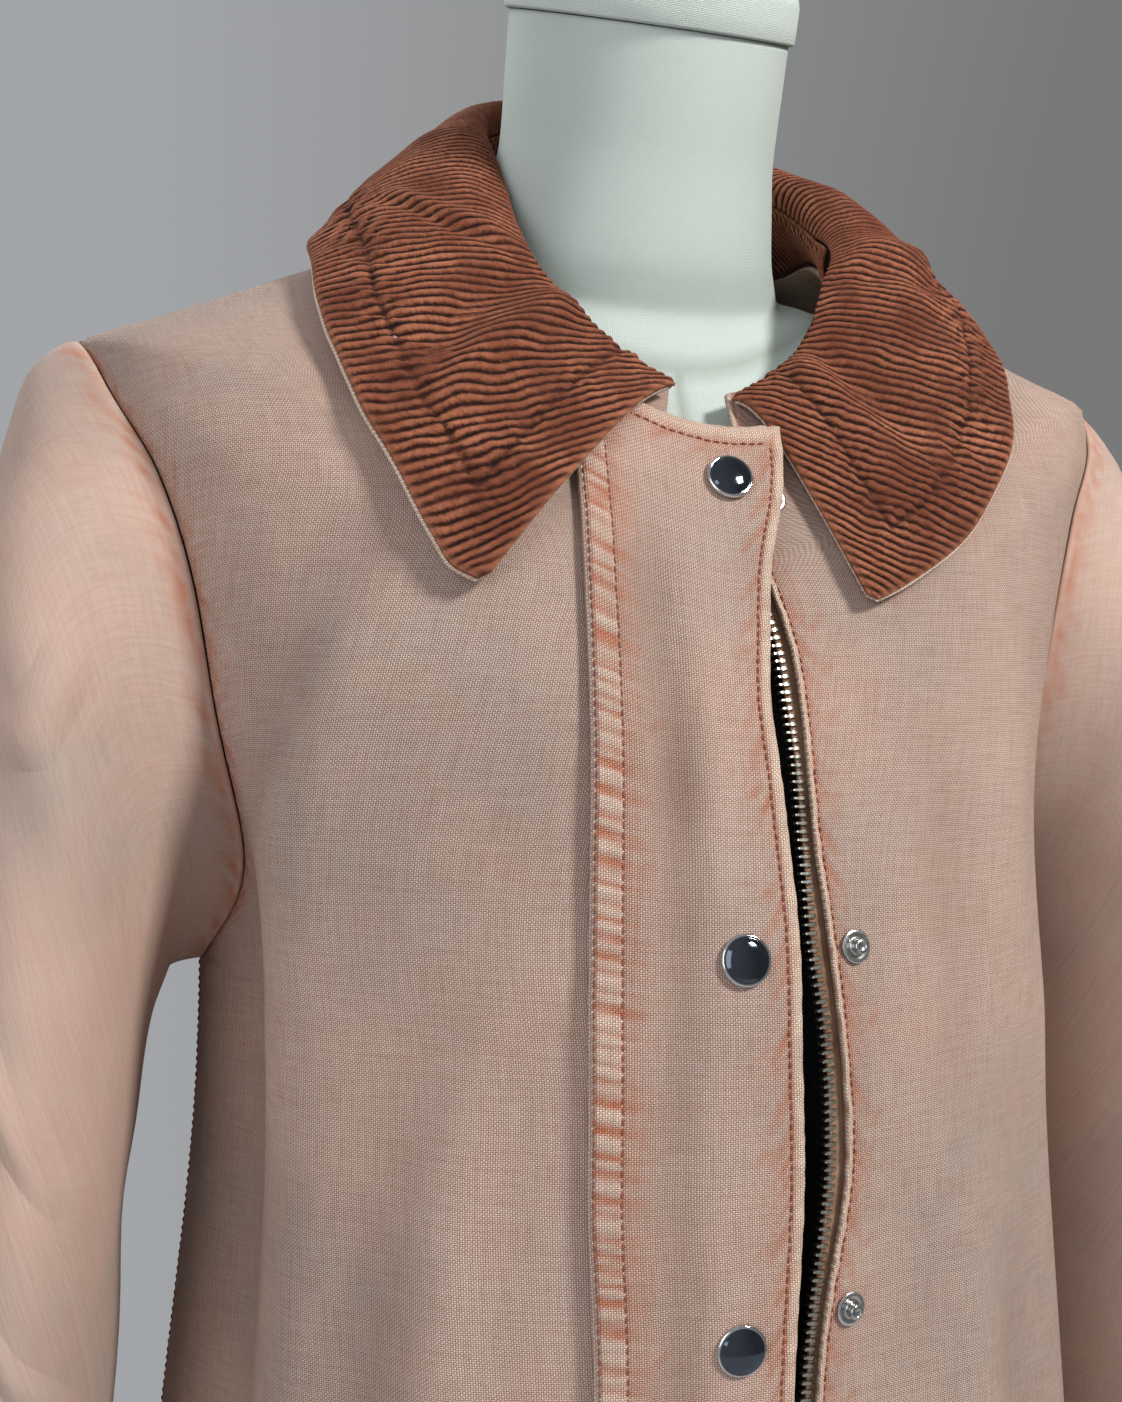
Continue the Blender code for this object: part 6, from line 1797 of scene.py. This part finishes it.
def area_light(name, place, target, size, power, colour):
    light = bpy.data.lights.new(name, "AREA")
    light.size = size
    light.energy = power
    light.color = colour
    obj = bpy.data.objects.new(name, light)
    obj.location = place
    obj.visible_camera = False
    obj.rotation_mode = "QUATERNION"
    obj.rotation_quaternion = (Vector(target) - Vector(place)).to_track_quat("-Z", "Y")
    bpy.context.scene.collection.objects.link(obj)


def build_stage():
    """A plain pale floor, a plain soft surround, the lights and the camera."""
    p = Paint("pale_floor", 0.9)
    p.base(p.mix(p.noise(p.place(), 1.3, 2.0), FLOOR_GREY, FLOOR_LIGHT))
    turns = np.arange(96) * 2 * np.pi / 96
    rings = [np.stack([r * np.cos(turns), r * np.sin(turns), 0 * turns - 0.5 * MM], -1)
             for r in np.linspace(0.1, FLOOR_RADIUS, 8)]
    index = np.arange(8 * 96).reshape(8, 96)
    after = np.roll(index, -1, axis=1)
    faces = list(np.stack([index[:-1], index[1:], after[1:], after[:-1]], -1).reshape(-1, 4)) + [index[0]]
    mesh = make_mesh("floor", np.concatenate(rings), faces)
    mesh.materials.append(p.material)
    obj = bpy.data.objects.new("floor", mesh)
    bpy.context.scene.collection.objects.link(obj)

    world = bpy.data.worlds.new("studio")
    world.use_nodes = True
    tree = world.node_tree
    place = tree.nodes.new("ShaderNodeTexCoord")
    split = tree.nodes.new("ShaderNodeSeparateXYZ")
    span = tree.nodes.new("ShaderNodeMapRange")
    blend = tree.nodes.new("ShaderNodeMix")
    blend.data_type = "RGBA"
    span.inputs["From Min"].default_value = 0.0
    span.inputs["From Max"].default_value = 0.55
    blend.inputs[6].default_value = (*WALL_LEFT, 1)
    blend.inputs[7].default_value = (*WALL_RIGHT, 1)
    tree.links.new(place.outputs["Generated"], split.inputs[0])
    tree.links.new(split.outputs[0], span.inputs[0])
    tree.links.new(span.outputs[0], blend.inputs["Factor"])
    tree.links.new(blend.outputs[2], tree.nodes["Background"].inputs[0])
    bpy.context.scene.world = world
    for light in LIGHTS:
        area_light(*light)

    cam = bpy.data.cameras.new("camera")
    cam.sensor_fit = "VERTICAL"
    cam.sensor_height = 36.0
    cam.lens = 36.0 * CAMERA_FOCAL_PX / CAMERA_HEIGHT_PX
    cam.clip_start = 0.01
    obj = bpy.data.objects.new("camera", cam)
    obj.location = CAMERA_PLACE
    obj.rotation_euler = (math.pi / 2, 0, -math.radians(CAMERA_TURN))
    bpy.context.scene.collection.objects.link(obj)
    bpy.context.scene.camera = obj
    bpy.context.scene.view_settings.view_transform = "Standard"


# ---------------------------------------------------------------- the whole

def left_edge(side_z):
    return opening_angle("left_edge", side_z)


def right_edge(side_z):
    return opening_angle("right_edge", side_z)


def right_seam(side_z):
    return -front_edge_angle(side_z)


def other_back_edge(side_z):
    return 360 - back_edge_angle(side_z)


def main():
    canvas = canvas_material("washed_canvas")
    sleeve_canvas = canvas_material("washed_sleeve_canvas", 0.08)
    corduroy = corduroy_material()
    cover = form_material()
    tape = tape_material()
    thread = thread_material()
    nickel, bright, dark = (metal_material(*metal) for metal in METALS)
    black = paint_material()

    build_stage()
    table = cut_table()
    right = build_panel("front_right", right_seam, right_edge, PANEL_COLS, ("seam", "plain"), canvas, table)
    left = build_panel("front_left", left_edge, front_edge_angle, PANEL_COLS, ("fold", "seam"), canvas, table)
    back = build_panel("back", back_edge_angle, other_back_edge, BACK_COLS, ("seam", "seam"), canvas, table)
    sleeves = [build_sleeve(-1, "sleeve_right", sleeve_canvas), build_sleeve(1, "sleeve_left", sleeve_canvas)]
    build_flap(canvas, thread)
    collar = Collar()
    build_collar(collar, corduroy, canvas)
    build_stand(collar, corduroy)
    heights = np.linspace(HEM_Z + 3 * MM, 1.40, 900)
    seam_heights = np.concatenate([
        np.linspace(HEM_Z + 3 * MM, ARMPIT_Z - 2 * MM, 400),
        np.linspace(ARMPIT_Z, TIP_Z, 400)[2:-2],
        np.linspace(TIP_Z, NECK_Z - 4 * MM, 60),
    ])
    sew(left, [panel_line(left_edge, heights, FOLD_STITCH),
               seam_line(front_edge_angle, seam_heights, SEAM_STITCH, 1),
               hem_line(left_edge, front_edge_angle)], thread)
    sew(right, [seam_line(right_seam, seam_heights, SEAM_STITCH, -1),
                hem_line(right_seam, right_edge)], thread)
    sew(back, [hem_line(back_edge_angle, other_back_edge)], thread)
    for sleeve, side in zip(sleeves, (-1, 1)):
        sew(sleeve, [cuff_line(side)], thread)
    build_zip_half("left", lambda z: OPENING.at("left_edge", z), lambda z: OPENING.at("left_teeth", z),
                   True, tape, nickel)
    build_zip_half("right", lambda z: OPENING.at("right_edge", z),
                   lambda z: OPENING.at("right_edge", z) + RIGHT_TEETH_OUT / MM, False, tape, nickel)
    build_snaps(dark, bright)
    build_form(cover)
    # these CAD solids stay, and each gets a material
    for surface, names in ((black, ("stand_base", "stand_pole")),
                           (nickel, ("zip_box", "zip_pin", "zip_slider", "zip_pull"))):
        for name in names:
            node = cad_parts[name]
            node.data.materials.clear()
            node.data.materials.append(surface)


main()
bpy.context.view_layer.update()
